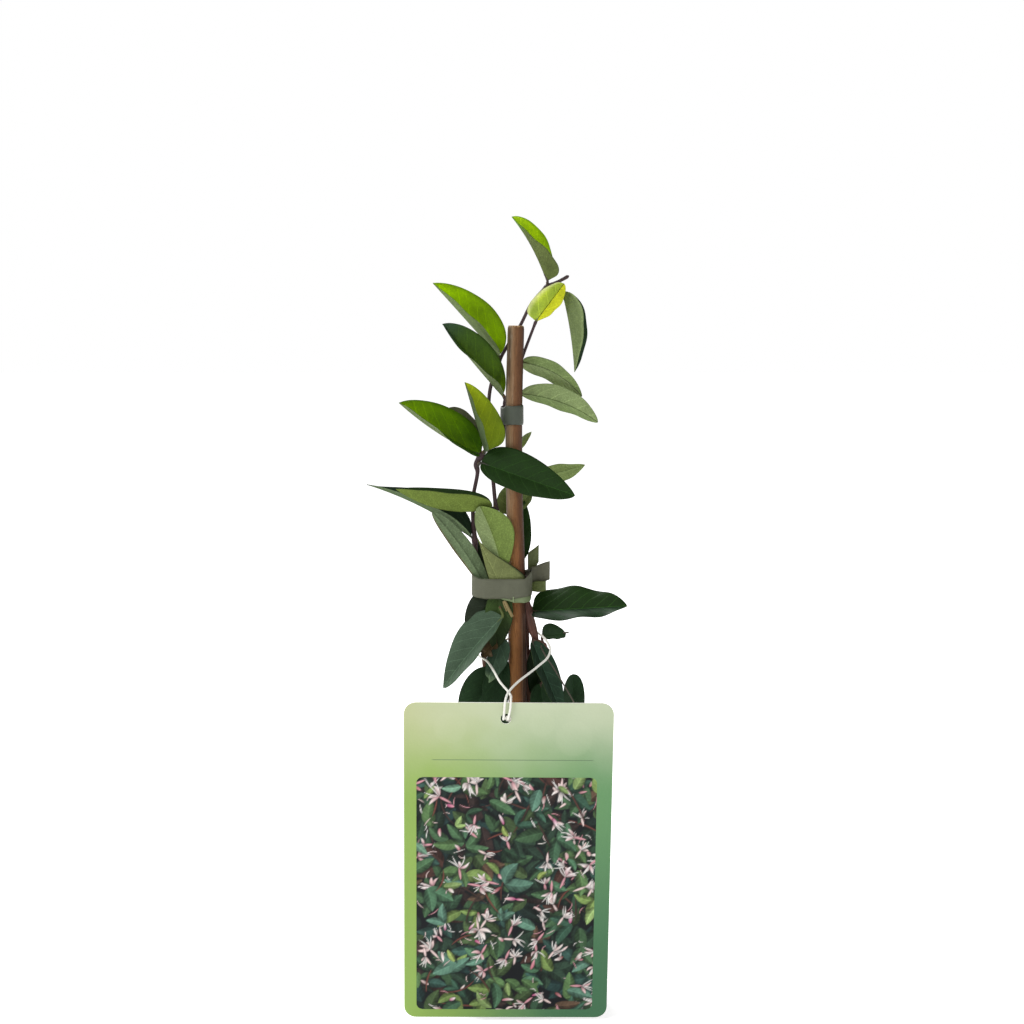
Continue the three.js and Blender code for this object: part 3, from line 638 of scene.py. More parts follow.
TALL_STEM = {
    "path": [[9.8, 5, 58], [9.9, 5, 110], [9.6, 5, 146], [9.8, 4.9, 163], [13.2, 3.8, 174], [9.8, 5.6, 191],
             [7.2, 6.4, 200], [1.9, 6.6, 214.5], [-3.9, 2.2, 230], [-5.8, -1, 241], [-7.2, 0.4, 254.7],
             [-8.6, 2.6, 268], [-9.3, 4, 283], [-8.6, 5.4, 297.4], [-4.6, 6.6, 310.2], [0, 7.4, 318.7],
             [5.7, 7.2, 327.7], [11.4, 4.8, 338.6], [18.4, 1.4, 346], [24.5, 0, 349], [28.7, -1, 351.3]],
    "r": [2, 1.9, 1.8, 1.7, 1.8, 1.6, 1.4, 1.1, 1, 1, 0.95, 0.9, 0.9, 0.9, 0.85, 0.85, 0.8, 0.8, 0.8, 0.8,
          0.9],
}
DEAD_STUB = {
    "path": [[9, 3.9, 207], [9.2, 3.6, 197], [10, 3, 189], [12, 2.4, 181], [14, 2.4, 176]],
    "r": [1.1, 1.2, 1.3, 1.4, 1.2],
}
DEAD_STUB_BARK = {
    "path": [[8.3, 3.6, 201], [8.5, 2.2, 193], [9.5, 1.5, 186], [11.2, 1.4, 180], [12.4, 1.8, 176.4]],
    "r": [0.8, 1, 1.15, 1.1, 0.6],
}
DEAD_STUB_HEEL = {
    "path": [[8.4, 4, 200], [8.9, 3.6, 191], [9.3, 3.4, 184], [9.4, 3.8, 178], [9.6, 4.4, 170],
             [9.6, 4.6, 162]],
    "r": [0.8, 0.95, 0.95, 0.95, 0.9, 0.6],
}
TALL_LEAVES = [
    Leaf([18.6, 0, 349], [1.9, -6, 378.4], [0.87, 0, 0.49], Half(9.2, 64, 0.5, 0.55),
         Half(9.6, 62, 0.2, 0.6, 0), rgb(112, 160, 10), (rgb(86, 96, 54), rgb(94, 104, 60)), arch=1.5,
         start=[18.4, 1, 346], kind=LIMY, through=(0.36, 0.54), near=0.2, cup=-0.06, stalk=rgb(66, 50, 48),
         tipped=(rgb(86, 132, 44), 0.7, 1.0)),
    Leaf([25.9, -2, 344], [31.4, -8, 306.5], [1, 0, 0.1], Half(9.5, 60, 0.5, 0.85, 30),
         Half(12.2, 50, 0.42, 0.8, 44), DARK, GREY, arch=1, start=[18.6, 1, 346], cup=-0.05, kind=SOFT,
         through=(0.16, 0.12), rim=(PALE, 1, 0.7)),
    Leaf([-4.3, 5.6, 313.6], [-35.4, 2, 348], [0.73, 0, 0.69], Half(13.9, 76, 0.46, 0.74),
         Half(13, 20, tip=12), rgb(88, 118, 14), GREY, arch=0.1, start=[-4.6, 6.6, 310.2], kind=GREEN,
         through=(0.34, 0.62), cup=-0.05),
    Leaf([-7.6, -3.8, 241.6], [-52.8, -13.8, 252], [0.2, 0, 0.98], Half(11, 76), Half(11, 62),
         rgb(44, 66, 32), rgb(96, 112, 50), arch=-5.2, start=[-5.8, -1, 240.6]),
    Leaf([12.2, 4.8, 189.4], [56.9, -10, 195], [0, -0.7, 0.7], Half(10.2, 28, 0.3, 0.45),
         Half(12.2, 12, 0.28, 0.62), (BOTTLE, rgb(26, 52, 26)), OLIVE, wave=1.2, waves=2.4,
         start=[9.6, 5.6, 190], veins=0.8),
    spread_leaf([14, 7, 128], [26, 42, 122], [0.1, 0.2, 1], 11, 18, 5, [9.8, 5, 120]),
    spread_leaf([11, 8.6, 143], [16, 48, 134], [0, 0.2, 1], 10.5, 16, 5, [9.7, 5, 138]),
]

CANE_STEM = {
    "path": [[4, 10, 58], [4.2, 10.2, 120], [3.6, 10.2, 160], [3, 10, 190], [2.4, 9.8, 206], [2, 9.2, 220],
             [1.9, 7.8, 236], [2.2, 7, 256], [0.8, 6.6, 271], [-1.3, 4.1, 279.8], [-1.7, 3.4, 286],
             [-1.5, 3.8, 291.4], [0.8, 6.2, 296], [3.8, 7.6, 304], [8, 7, 316], [11, 4.6, 324],
             [13.4, 2.7, 330.4]],
    "r": [1.3, 1.2, 1.1, 1.1, 1, 1, 0.9, 0.9, 0.85, 0.8, 0.8, 0.8, 0.8, 0.8, 0.75, 0.7, 0.65],
}
CANE_LEAVES = [
    Leaf([13.3, 2.8, 330], [26.3, -5, 347.6], [0, -1, 0.1], Half(7.2, 50, 0.9, 0.5),
         Half(7.6, 4, 0.22, 0.45, 24), (rgb(150, 178, 70), rgb(214, 216, 56)), YELLOW, kind=GOLDEN,
         through=(0.46, 0.64), near=0.62, veins=-0.45, start=[13.3, 2.8, 330],
         rim=(rgb(212, 220, 160), -1, 0.62)),
    Leaf([-2.6, 5.4, 294.8], [-30.5, -9.5, 329], [0.72, 0, 0.66], Half(11.9, 84, 0.6, 0.65),
         Half(12, 26, 0.7, tip=-14), FERN, GREY, arch=-0.4, start=[-1.3, 4.4, 292.4],
         tipped=(rgb(54, 78, 58), 0.7, 1.0), kind=GREEN, through=(0.3, 0.08), veins=0.25),
    Leaf([6.6, 7, 310.6], [35.4, 4, 294.3], [0.35, 0.75, 0.55], Half(5.2, 14, 0.3, 0.6),
         Half(9, 14, 0.4, 0.65), MOSS, (PALE, SAGE), arch=2.2, bend=2.6, start=[5.2, 7.6, 307.6], kind=SOFT,
         through=(0.08, 0.12), near=1, back=-0.3),
    Leaf([6.2, 7.6, 295.6], [42.8, -2, 282.5], [0.25, 0.75, 0.6], Half(8.3, 14, 0.5, 0.62),
         Half(7.2, 14, 0.5, 0.62), MOSS, (SAGE, PALE), arch=4, start=[1.4, 6.5, 297], kind=SOFT,
         through=(0.08, 0.12), near=1, back=-0.3),
    Leaf([6.6, 8, 254], [36.9, 2, 261.6], [-0.1, 0.6, 0.8], Half(8, 0), Half(9.5, -8), MOSS,
         rgb(106, 122, 72), arch=-0.6, start=[2.2, 7, 255], kind=SOFT, through=(0.1, 0.12)),
    Leaf([1.4, 10.4, 266], [11.4, 12, 276.6], [0.3, -0.9, 0.1], Half(2.2, 20), Half(2.6, 20), PALE, PALE,
         start=[1.2, 6.9, 263], kind=SOFT, through=(0.2, 0.2)),
    Leaf([0.9, 9.2, 236.6], [-1.6, 13, 249.4], [0, -0.9, 0.3], Half(6, 20), Half(6, 20), OLIVE, OLIVE,
         start=[1.9, 7.8, 235]),
    Leaf([4, 9.6, 239], [12, 13, 247.6], [0, -0.9, 0.3], Half(3.4, 20), Half(3.4, 20), OLIVE, OLIVE,
         start=[1.9, 7.8, 236]),
    Leaf([5.6, 10.8, 213], [8, 10, 243], [0.2, -0.97, 0], Half(4.8, 15), Half(5.4, 15), BOTTLE, MOSS,
         start=[2.2, 9.5, 211]),
    spread_leaf([0, 13, 134], [-30, 40, 120], [-0.2, 0.2, 1], 11, 18, 5, [4.1, 10.2, 128]),
]

LEFT_STEM = {
    "path": [[-9.5, 5, 58], [-9.8, 5, 110], [-10.6, 5, 150], [-12, 4, 170], [-14.2, 1.6, 192],
             [-14.4, 0.8, 205], [-15.7, 0.2, 219.6], [-16.1, 0, 226], [-16.9, 0.2, 238], [-16.6, 0.6, 247],
             [-14.6, -0.4, 258.6], [-15.2, -0.8, 262.6], [-12.6, -1.6, 266.4], [-11.6, -2.4, 268.2]],
    "r": [1.5, 1.4, 1.3, 1.3, 1.2, 1.15, 1.1, 1.2, 1, 0.95, 0.95, 0.95, 0.9, 0.7],
}
LEFT_LEAVES = [
    Leaf([-10.8, -4, 268.8], [-20.2, -9, 301.8], [0.94, 0, 0.33], Half(12.6, 82, 0.22, 0.65),
         Half(12, 16, 0.4, 0.72, 10), rgb(108, 132, 30), ASH, start=[-12.6, -1.6, 266.4], kind=SOFT,
         through=(0.24, 0.56), cup=-0.04),
    Leaf([-13.4, -2, 266.8], [-51.2, -9, 292.2], [0.55, 0, 0.835], Half(14.1, 72, 0.5, 0.72),
         Half(13, -6, tip=24), rgb(52, 90, 8), GREY, arch=-1.8, start=[-13.6, -1.2, 265], kind=GREEN,
         through=(0.2, 0.42), veins=0.5),
    Leaf([-13.6, 2, 269.4], [-28, 13, 288.4], [0.5, -0.5, 0.7], Half(7, 30, 0.5, 0.5),
         Half(7, 20, 0.5, 0.5), rgb(80, 82, 60), rgb(80, 82, 60), start=[-12.8, -1, 266.6]),
    Leaf([-12.8, -4, 263.2], [31.2, -22, 249.8], [0.1, -0.95, 0.3], Half(8.3, 14, 0.45, 0.6),
         Half(11.6, 10, 0.35, 0.8), BOTTLE, OLIVE, start=[-14.8, -0.8, 261], veins=0.4, quilt=0.03),
    Leaf([-17.8, -1, 227.2], [-67.2, -5, 253], [0.5, 0, 0.87], Half(11, 62, 0.5, 1.3), Half(7.4, 34), SLATE,
         ASH, arch=2.4, start=[-16.1, 0, 225]),
    Leaf([-9.6, -2.6, 200], [-36, -10, 240.6], [-0.35, 0.85, 0.3], Half(4, 10, 0.75, 0.6),
         Half(5, 10, 0.55, 0.6), DARK, rgb(96, 112, 82), bend=-1.9, start=[-14.3, 0.9, 199],
         rim=(DRIED, 1, 0.7)),
    spread_leaf([-13, 6, 118], [-42, 24, 104], [-0.2, 0.1, 1], 11, 20, 5, [-9.9, 5, 114]),
    # a small dark leaf behind, tinted as painted shade, fills the shaded gap just above the lower tie
    Leaf([-11.2, 3.4, 203], [-14.6, 3.2, 225], [0, -1, 0.1], Half(2.8, 12), Half(2.4, 12), SHADOW_GREEN, DARK,
         start=[-14.3, 1, 203]),
]

LOW_LEFT_STEM = {
    "path": [[-4, -1, 58], [-4.2, -1, 100], [-4.4, 0, 140], [-3.6, 0, 160], [-3.4, -0.6, 176],
             [-4.4, -1, 188], [-4.6, -2, 197], [-3.4, -4.4, 203]],
    "r": [1.4, 1.3, 1.2, 1.2, 1.1, 1.1, 1, 0.8],
}
LOW_LEFT_LEAVES = [
    Leaf([-1.8, -4.9, 205], [-13.3, -8.6, 243.1], [0, 1, -0.1], Half(8.5, 36, 1, 0.6),
         Half(10.4, 0, 1.6, 0.85), MOSS, (rgb(104, 122, 62), rgb(112, 126, 84)), bend=-1.9,
         start=[-3.4, -4.4, 202], kind=SOFT, through=(0.02, 0.05), near=1),
    # its right margin is painted dark: a painted shadow line where it lies over the leaf behind
    Leaf([-1.6, -6.2, 200.3], [-14.4, -7.8, 227.4], [0.1, -1, 0.1], Half(12.4, 6, 0.2, 1.6, 14),
         Half(4.2, -10, 0.2, 1.2), rgb(112, 120, 74), OLIVE, start=[-4.2, -3.6, 199.6],
         rim=(SHADOW_GREEN, 1, 0.86)),
    Leaf([-2.6, -7.5, 189.4], [-30.7, -24, 158.4], [-0.2, -0.8, 0.55], Half(12.3, 6, 0.38, 0.95),
         Half(9, 43, 0.7, 0.5), BLUISH, OLIVE, bend=1, start=[-4.6, -2.4, 194], veins=0.36,
         stalk=rgb(88, 98, 44)),
    Leaf([-5.6, -1, 198.6], [-19.6, -8, 183.4], [-0.2, -0.9, 0.3], Half(8.4, 15, 0.3, 0.6),
         Half(4.8, -30, 0.4, 0.6), (rgb(26, 46, 16), rgb(42, 50, 38)), DARK, start=[-4.4, -1.4, 191]),
    Leaf([-4.2, -3.6, 199.2], [-6.4, -5, 173], [0, -1, 0.1], Half(6.4, 15, 0.3, 0.6),
         Half(7.6, 15, 0.3, 0.6), (rgb(56, 74, 38), rgb(58, 78, 38)), DARK, start=[-4.4, -1, 190],
         tipped=(rgb(36, 50, 26), 0.3, 0.8)),
    Leaf([-5.2, -3.4, 178], [-11.8, -2.4, 167.8], [-0.4, -0.9, 0.2], Half(5, 46, 0.5, 0.5),
         Half(4.8, 46, 0.5, 0.5), DRIED, DRIED_DARK, start=[-3.4, -0.6, 176.4], edge=1.6, wave=0.8,
         waves=3.3, rim=(DRIED_DARK, 1, 0.2)),
    Leaf([-2.2, -2, 177.6], [-10.3, -4.1, 155.4], [-0.3, -0.9, 0.2], Half(4.5, 15), Half(6.4, 10),
         (rgb(66, 88, 70), rgb(52, 72, 56)), SLATE, start=[-3.4, -0.6, 175],
         tipped=(rgb(116, 138, 104), 0.72, 0.95)),
    Leaf([-5, 1.4, 160.4], [-21.4, -6, 136], [-0.2, -0.9, 0.4], Half(11, 14, 0.4, 0.6),
         Half(11, 14, 0.4, 0.6), DARK, OLIVE, start=[-3.6, 0, 158]),
    Leaf([-2.4, -0.6, 167], [-5.2, -8, 128.4], [0, -0.95, 0.3], Half(9.4, 12), Half(4.4, 20, 0.35), DARK,
         OLIVE, start=[-3.7, 0, 158]),
    spread_leaf([-8, -4, 120], [-36, -26, 112], [-0.2, -0.2, 1], 11, 18, 4, [-4.3, -0.6, 116]),
    Leaf([-2.4, -5, 143.4], [-1.6, -11, 119], [0, -0.95, 0.3], Half(6.4, 12), Half(5.6, 12), DARK, OLIVE,
         start=[-4.4, -0.1, 137]),
]

LOW_RIGHT_STEMS = [
    {"path": [[18, 5, 58], [18, 5, 110], [17.4, 4.6, 150], [17.8, 3, 166], [17.4, 1.8, 174.6]],
     "r": [1.3, 1.2, 1.1, 1.1, 0.9]},
    {"path": [[18, 5, 100], [25, 3.6, 112], [30.2, 2.2, 124], [31, 2, 127]], "r": [0.9, 0.8, 0.8, 0.7]},
    {"path": [[17.2, 1, 174.2], [16, -2.4, 173.6], [18.2, -6.4, 169.6], [21.7, -10, 165], [27.5, -14, 156],
              [32.5, -17, 147.5], [35.4, -18, 141]], "r": [0.45, 0.4, 0.38, 0.38, 0.36, 0.35, 0.3]},
    {"path": [[26.8, 2.2, 179.1], [30, 1.4, 179.7]], "r": [0.45, 0.35]},
]
LOW_RIGHT_LEAVES = [
    Leaf([11.8, -1.6, 176], [26.4, -12, 141], [0.5, -0.8, 0.2], Half(6.4, 28), Half(6.8, 28),
         (rgb(44, 66, 50), rgb(36, 54, 40)), OLIVE, start=[17.2, 1.4, 174], veins=0.5),
    Leaf([15, 4.6, 174.4], [16.4, 8, 141.6], [0.3, -0.9, 0], Half(8, 20, 0.5, 0.6), Half(7, 20, 0.5, 0.6),
         (rgb(30, 46, 28), INK), DARK, start=[17.6, 2.2, 171]),
    Leaf([16.6, 4.4, 177.4], [28.2, 2, 179], [0, -0.8, 0.6], Half(3, 15, 0.3, 0.14),
         Half(5.8, 15, 0.35, 0.8), rgb(44, 66, 42), DARK, start=[17.8, 3, 170.6]),
    Leaf([31, 2, 126.4], [31.6, -2, 159.7], [0.3, -0.9, 0], Half(6.2, 20, 0.6, 0.42),
         Half(6.2, 20, 0.6, 0.42), DARK, OLIVE, start=[31, 2, 126.4]),
    Leaf([16, 1.4, 154], [18, -6, 130], [0.2, -0.9, 0.2], Half(6.8, 18, 0.4, 0.6), Half(6.8, 18, 0.4, 0.6),
         DARK, OLIVE, start=[17.5, 4.2, 152]),
    spread_leaf([21, 2, 118], [42, -22, 108], [0.2, -0.2, 1], 10.5, 18, 4, [18, 5, 112]),
    spread_leaf([20, 9, 116], [40, 30, 108], [0.2, 0.2, 1], 10.5, 18, 4, [18, 5, 110]),
]

# the light crosses two sheets, so that its colour comes out as the square of these
LEAF_PAINTS = [leaf_paint("leaf_limy", rgba(218, 238, 62)), leaf_paint("leaf_green", rgba(194, 222, 34)),
               leaf_paint("leaf_golden", rgba(244, 242, 112)), leaf_paint("leaf_soft", rgba(218, 228, 92)),
               leaf_paint("leaf_old", rgba(150, 180, 90))]
BARK_PAINT = stem_paint()
YOUNG_WOOD, OLD_WOOD = 235, 165      # heights between which a stem turns woody
THIN_TWIG = 0.6          # up to this radius a stem is a dry twig
STALK_RADII = [0.8, 0.6, 0.3]
BUD = 0.8                # size of a bud


def stem_tint(p, _):
    """Wine-coloured where it is young, brown and woody lower down."""
    old = ease(YOUNG_WOOD, OLD_WOOD, p[2])
    return (WINE + (BARK - WINE) * old) * (1 + 0.25 * rough_noise(p, 6.0))


def stalk_tints(leaf):
    """A stalk's tints where it leaves the stem, halfway, and under the blade."""
    if leaf.stalk is not None:
        return leaf.stalk * 0.8, leaf.stalk, leaf.stalk
    bark = stem_tint(np.array(leaf.base, float), 0)
    greens = [tint[0] if isinstance(tint, tuple) else tint for tint in (leaf.top, leaf.under)]
    green = min(greens, key=np.sum) * 0.85
    return bark * 0.9 + green * 0.1, bark * 0.5 + green * 0.4, green


def stalk_shade(leaf):
    """Gives the tint of a leaf's stalk at a share of its length."""
    a, b, c = stalk_tints(leaf)
    return lambda _, t: a + (b - a) * min(t * 2, 1) + (c - b) * max(t * 2 - 1, 0)


def bud(form, at, toward):
    """A small pointed bud in the angle of a leaf stalk."""
    ahead = unit(toward)
    line = [at, at + ahead * BUD, at + ahead * 2.6 * BUD]
    tube(form, line, [0.55 * BUD, 0.85 * BUD, 0.12], rgb(96, 72, 46), sides=8, step=0.4)


def shoot(name, stems, leaves, slot):
    """The leaves of one shoot, and its stem with the leaf stalks and buds."""
    blades, wood = Form(), Form()
    insides = [blade(blades, leaf, i + 1.7 * len(name)) for i, leaf in enumerate(leaves)]
    for k, stem in enumerate(stems):
        swell = [leaf.start for leaf in leaves] if k == 0 else []
        tint = stem_tint if stem["r"][0] > THIN_TWIG else TWIG
        tube(wood, stem["path"], stem["r"], tint, swell=swell, round_end=1.0)
    for leaf, inside in zip(leaves, insides):
        base, start = np.array(leaf.base, float), np.array(leaf.start, float)
        path = [start, base, inside]
        if np.linalg.norm(base - start) <= 0.5:
            path = [base, (base + inside) / 2, inside]
        tube(wood, path, STALK_RADII, stalk_shade(leaf), sides=10, step=0.5)
        if leaf.start != leaf.base:
            # a bud sits low on the stalk and looks up along it
            bud(wood, start + (base - start) * 0.25 + [0, 0, 0.6], (base - start) * 0.4 + [0, 0, 1.2])
    blades.become(name + "_leaves", LEAF_PAINTS, slot, stands_for=[name])
    wood.become(name + "_stem", [BARK_PAINT], slot)


shoot("tall_shoot", [TALL_STEM, DEAD_STUB, DEAD_STUB_BARK, DEAD_STUB_HEEL], TALL_LEAVES, "foliage_upper")
shoot("cane_shoot", [CANE_STEM], CANE_LEAVES, "foliage_upper")
shoot("left_shoot", [LEFT_STEM], LEFT_LEAVES, "foliage_upper")
shoot("low_left_shoot", [LOW_LEFT_STEM], LOW_LEFT_LEAVES, "foliage_lower")
shoot("low_right_shoot", LOW_RIGHT_STEMS, LOW_RIGHT_LEAVES, "foliage_lower")

# ---- cane
CANE = {
    "path": [[5, 0, 12], [4.8, 0, 80], [4.55, 0, 150], [4, 0, 214], [3.1, 0, 246], [2.8, 0, 286],
             [3.8, 0, 328]],
    "r": [4.6, 4.6, 4.5, 4.2, 4, 4, 3.9],
}
CANE_TOP = 328
CANE_ROWS, CANE_SIDES = 320, 72
SPLIT_AT, SPLIT_WIDTH, SPLIT_DEPTH = 5.15, 0.09, 0.5     # the split low down: its angle, width and depth
# the wood's colour from its left side (-1) to its right side (1), where it is weathered and where it is
# fresh; the stops also paint light and shade: lightest left of the middle, with painted shade toward the
# right side and at both edges
WEATHERED_SHADED_RIGHT = [(-1, (92, 74, 56)), (-0.8, (132, 108, 82)), (-0.35, (138, 108, 78)), (0, (120, 84, 54)),
             (0.45, (104, 68, 42)), (0.85, (88, 56, 36)), (1, (60, 40, 28))]
FRESH_SHADED_RIGHT = [(-1, (104, 68, 38)), (-0.6, (146, 98, 54)), (0, (132, 86, 46)), (0.5, (92, 57, 33)),
         (1, (56, 36, 24))]


def blend(stops, at):
    """The colour at each place of a row of (place, colour) stops."""
    places = [p for p, _ in stops]
    colours = np.array([rgb(*c) for _, c in stops])
    return np.stack([np.interp(at, places, colours[:, k]) for k in range(3)], axis=1)


def cane_radii(heights, radii):
    """The cane's radius at each point of its skin: fibres, flutes, the split, and a worn top edge."""
    rows = []
    for z, r in zip(heights, radii):
        worn = 1 - 0.10 * ease(1.2, 0, CANE_TOP - z) - 0.004 * ease(6, 1, CANE_TOP - z)
        for a in circle(CANE_SIDES):
            c, s = math.cos(a), math.sin(a)
            fibre = noise.noise(Vector((3.1 * c, 3.1 * s, z * 0.012)))
            flute = noise.noise(Vector((1.2 * c, 1.2 * s, z * 0.02 + 9)))
            split = hump(a, SPLIT_AT - 0.0012 * (z - 150), SPLIT_WIDTH) * ease(212, 190, z)
            rows.append(r * worn * (1 + 0.018 * fibre + 0.02 * flute) - SPLIT_DEPTH * split)
    return np.array(rows).reshape(len(heights), CANE_SIDES)


def cane_tints(across, height):
    """The wood's colour, with painted light and shade across it, a darker streak on the left near the top and
    two lines low down, and the share of grey weathered wood, which is kept to the lit left side, where it
    also paints a highlight.
    """
    low = ease(268, 196, height)[:, None]
    tint = blend(WEATHERED_SHADED_RIGHT, across) * (1 - low) + blend(FRESH_SHADED_RIGHT, across) * low
    # a darker streak on the left near the top
    dark_streak = 0.68 * hump(across, -0.68, 0.2) * ease(299, 305, height) * ease(329, 325, height)
    dark_line = 0.55 * hump(across, 0.66, 0.08) * ease(200, 186, height)
    pale_line = 0.5 * hump(across, 0.55, 0.03) * ease(190, 182, height)
    tint = tint * (1 + 0.16 * hump(height, 222, 18) - dark_streak - dark_line)[:, None]
    tint = tint + pale_line[:, None] * rgb(150, 126, 96)
    # painted highlight: the share of grey weathered wood is kept to the lit left side, and is largest near
    # the top
    worn = ease(0.35, -0.5, across) * (0.38 - 0.3 * low[:, 0])
    return np.hstack([tint, worn[:, None]])


def sawn_end(form, ring, middle, inward):
    """Closes an end of the cane with a shallow dish of pale wood."""
    dish = [ring, middle + (ring - middle) * 0.6, middle + (ring - middle) * 0.25, [middle - [0, 0, 0.5]]]
    n, hub = CANE_SIDES, 3 * CANE_SIDES
    faces = rings(3, n, closed_ends=False) + [[2 * n + j, 2 * n + (j + 1) % n, hub] for j in range(n)]
    if inward:
        faces = [f[::-1] for f in faces]
    dish = np.vstack(dish)
    form.add(dish, faces, (*rgb(196, 160, 112), 0.3), flat=dish[:, :2] / 30)


def make_cane():
    line, places = spline(CANE["path"], CANE_ROWS)
    radius = np.interp(places, range(len(CANE["r"])), CANE["r"])
    skin = skin_round(line, cane_radii(line[:, 2], radius), CANE_SIDES)
    across = (skin[:, 0] - np.repeat(line[:, 0], CANE_SIDES)) / np.repeat(radius, CANE_SIDES)
    form = Form()
    tints = cane_tints(np.clip(across, -1, 1), skin[:, 2])
    form.add(skin, rings(CANE_ROWS, CANE_SIDES, closed_ends=False), tints,
             flat=unrolled(run_along(line), CANE_SIDES))
    sawn_end(form, skin[-CANE_SIDES:], line[-1] + [0, 0, -0.25], False)
    sawn_end(form, skin[:CANE_SIDES], line[0], True)
    weld(form.become("cane_wood", [cane_paint()], "bamboo", stands_for=["cane"]))


make_cane()

# ---- ties
TAPE = 0.34              # thickness of the tape
TAPE_LEVELS = 11         # points across the tape on each face
TAPE_STEP = 0.45
# the tape's way round the stems, from above
LOWER_LOOP = [[-17.3, -1.6], [-16.8, -5.6], [-12, -7.5], [-4, -7.8], [2, -7.9], [8, -7.4], [11, -4.2],
              [11.5, 1], [10.9, 6.4], [7.5, 10.4], [2.5, 11.6], [-6, 8.6], [-13, 4.6], [-16.3, 1.6]]
UPPER_LOOP = [[2.8, -4.8], [5.8, -3.6], [7.2, 0], [6.2, 3.5], [3.2, 5.1], [-0.8, 5.6], [-3.1, 4.5],
              [-3.5, 2.4], [-2.2, -1.2], [-0.2, -3.8]]
SPROUT = rgb(106, 120, 84)
# strips under the lower tie and its free ends: a path of [x, y, low z, high z], tint, seed and crease
STRIPS = [
    ([[-4.6, -7.4, 198.2, 203], [-1, -7.45, 197.2, 203], [3, -7.4, 196, 203], [7.8, -6.95, 195.8, 203],
      [10.6, -4, 196.2, 203], [11.1, 1, 197.4, 203]], SPROUT, 3.0, 0.12),
    ([[2.3, -8.1, 196.2, 198.9], [2.8, -8.15, 195.9, 199]], rgb(132, 146, 108), 4.0, 0.12),
    ([[10.6, 5.4, 202.2, 210.8], [15, 5.6, 202.9, 212.4], [20.3, 4.6, 205.2, 214.4]],
     rgb(88, 88, 70), 5.0, 0.3),
    ([[9.6, 8.4, 204, 217.4], [12, 8.6, 208, 219.4], [15, 8.8, 213.2, 221.8]], rgb(92, 102, 58), 7.0, 0.3),
    ([[11.1, 4.4, 199.4, 203.8], [14.6, 3.4, 199.2, 204.6], [18.4, 2.6, 200, 204.8]],
     rgb(92, 104, 54), 9.0, 0.3),
]
# two dry straws that stick out under the lower tie, each with its radius
STRAWS = [([[-1.7, -6.4, 197], [-0.4, -6.9, 194.2], [0.9, -7.1, 191.6], [2.1, -7.1, 189.2]], 0.75),
          ([[-2.4, -6.4, 196.6], [-1.9, -6.8, 195], [-1.2, -7, 193.2], [-0.6, -7.1, 191.8]], 0.35)]


def band(form, path, tint, closed=False, crease=0.12, seed=0.0):
    """Tape standing on edge along a path of [x, y, low z, high z]."""
    flat_path = [[p[0], p[1], 0] for p in path]
    count = int(spans(np.array(flat_path)).sum() / TAPE_STEP) + 2
    line, places = spline(flat_path, count, closed)
    ends = np.array([p[2:] for p in path] + [path[0][2:]], float)
    low, high = (np.interp(places, range(len(ends)), ends[:, k]) for k in (0, 1))
    ahead = (np.roll(line, -1, 0) - np.roll(line, 1, 0)) if closed else np.gradient(line, axis=0)
    ahead /= np.linalg.norm(ahead, axis=1)[:, None]
    outward = np.stack([ahead[:, 1], -ahead[:, 0], 0 * ahead[:, 0]], axis=1)
    # a flat ring of points round the tape's section, rounded at its two edges
    levels = np.linspace(0, 1, TAPE_LEVELS)
    ring = [(0.5 * math.sqrt(max(0.08, 1 - (2 * h - 1) ** 18)), h) for h in levels]
    ring += [(-s, h) for s, h in ring[::-1]]
    points, flat = [], []
    run = run_along(line)
    for i in range(count):
        for s, h in ring:
            p = line[i] + np.array([0, 0, low[i] + (high[i] - low[i]) * h])
            wrinkle = crease * (rough_noise(p, 3.1, seed) + 0.5 * rough_noise(p * [1, 1, 0.4], 1.4, seed))
            edge = 0.35 * rough_noise(p * [1, 1, 0], 4.0, seed + h * 3) * (2 * h - 1) ** 4
            points.append(p + outward[i] * (s * TAPE + wrinkle) + np.array([0, 0, edge]))
            flat.append([h / 8, run[i] / 100])
    form.add(points, rings(count, len(ring), loop=closed), tint, flat=np.array(flat))


def make_ties():
    tape = tape_paint()
    lower, upper = Form(), Form()
    # the lower tie stands a little higher behind and to the right
    path = [[x, y, 198 + (0.9 if x < -14 or x > 6 else 0),
             208.8 - (1.1 if y < -6 else 0) + (0.4 if x < -16 else 0) + (1.8 if x > 10 else 0)]
            for x, y in LOWER_LOOP]
    band(lower, path, rgb(85, 87, 70), closed=True)
    for strip, tint, seed, crease in STRIPS:
        band(lower, strip, tint, seed=seed, crease=crease)
    for straw, r in STRAWS:
        tube(lower, straw, [r, r * 1.1, r, r], rgb(132, 116, 76), sides=8, step=0.6)
    weld(lower.become("lower_tie_tape", [tape], "tie_tape", stands_for=["lower_tie"]))
    path = [[x, y, 281.3, 289.4 if x < -1.5 else 290.4] for x, y in UPPER_LOOP]
    band(upper, path, rgb(68, 74, 64), closed=True, crease=0.06)
    weld(upper.become("upper_tie_tape", [tape], "tie_tape", stands_for=["upper_tie"]))


make_ties()

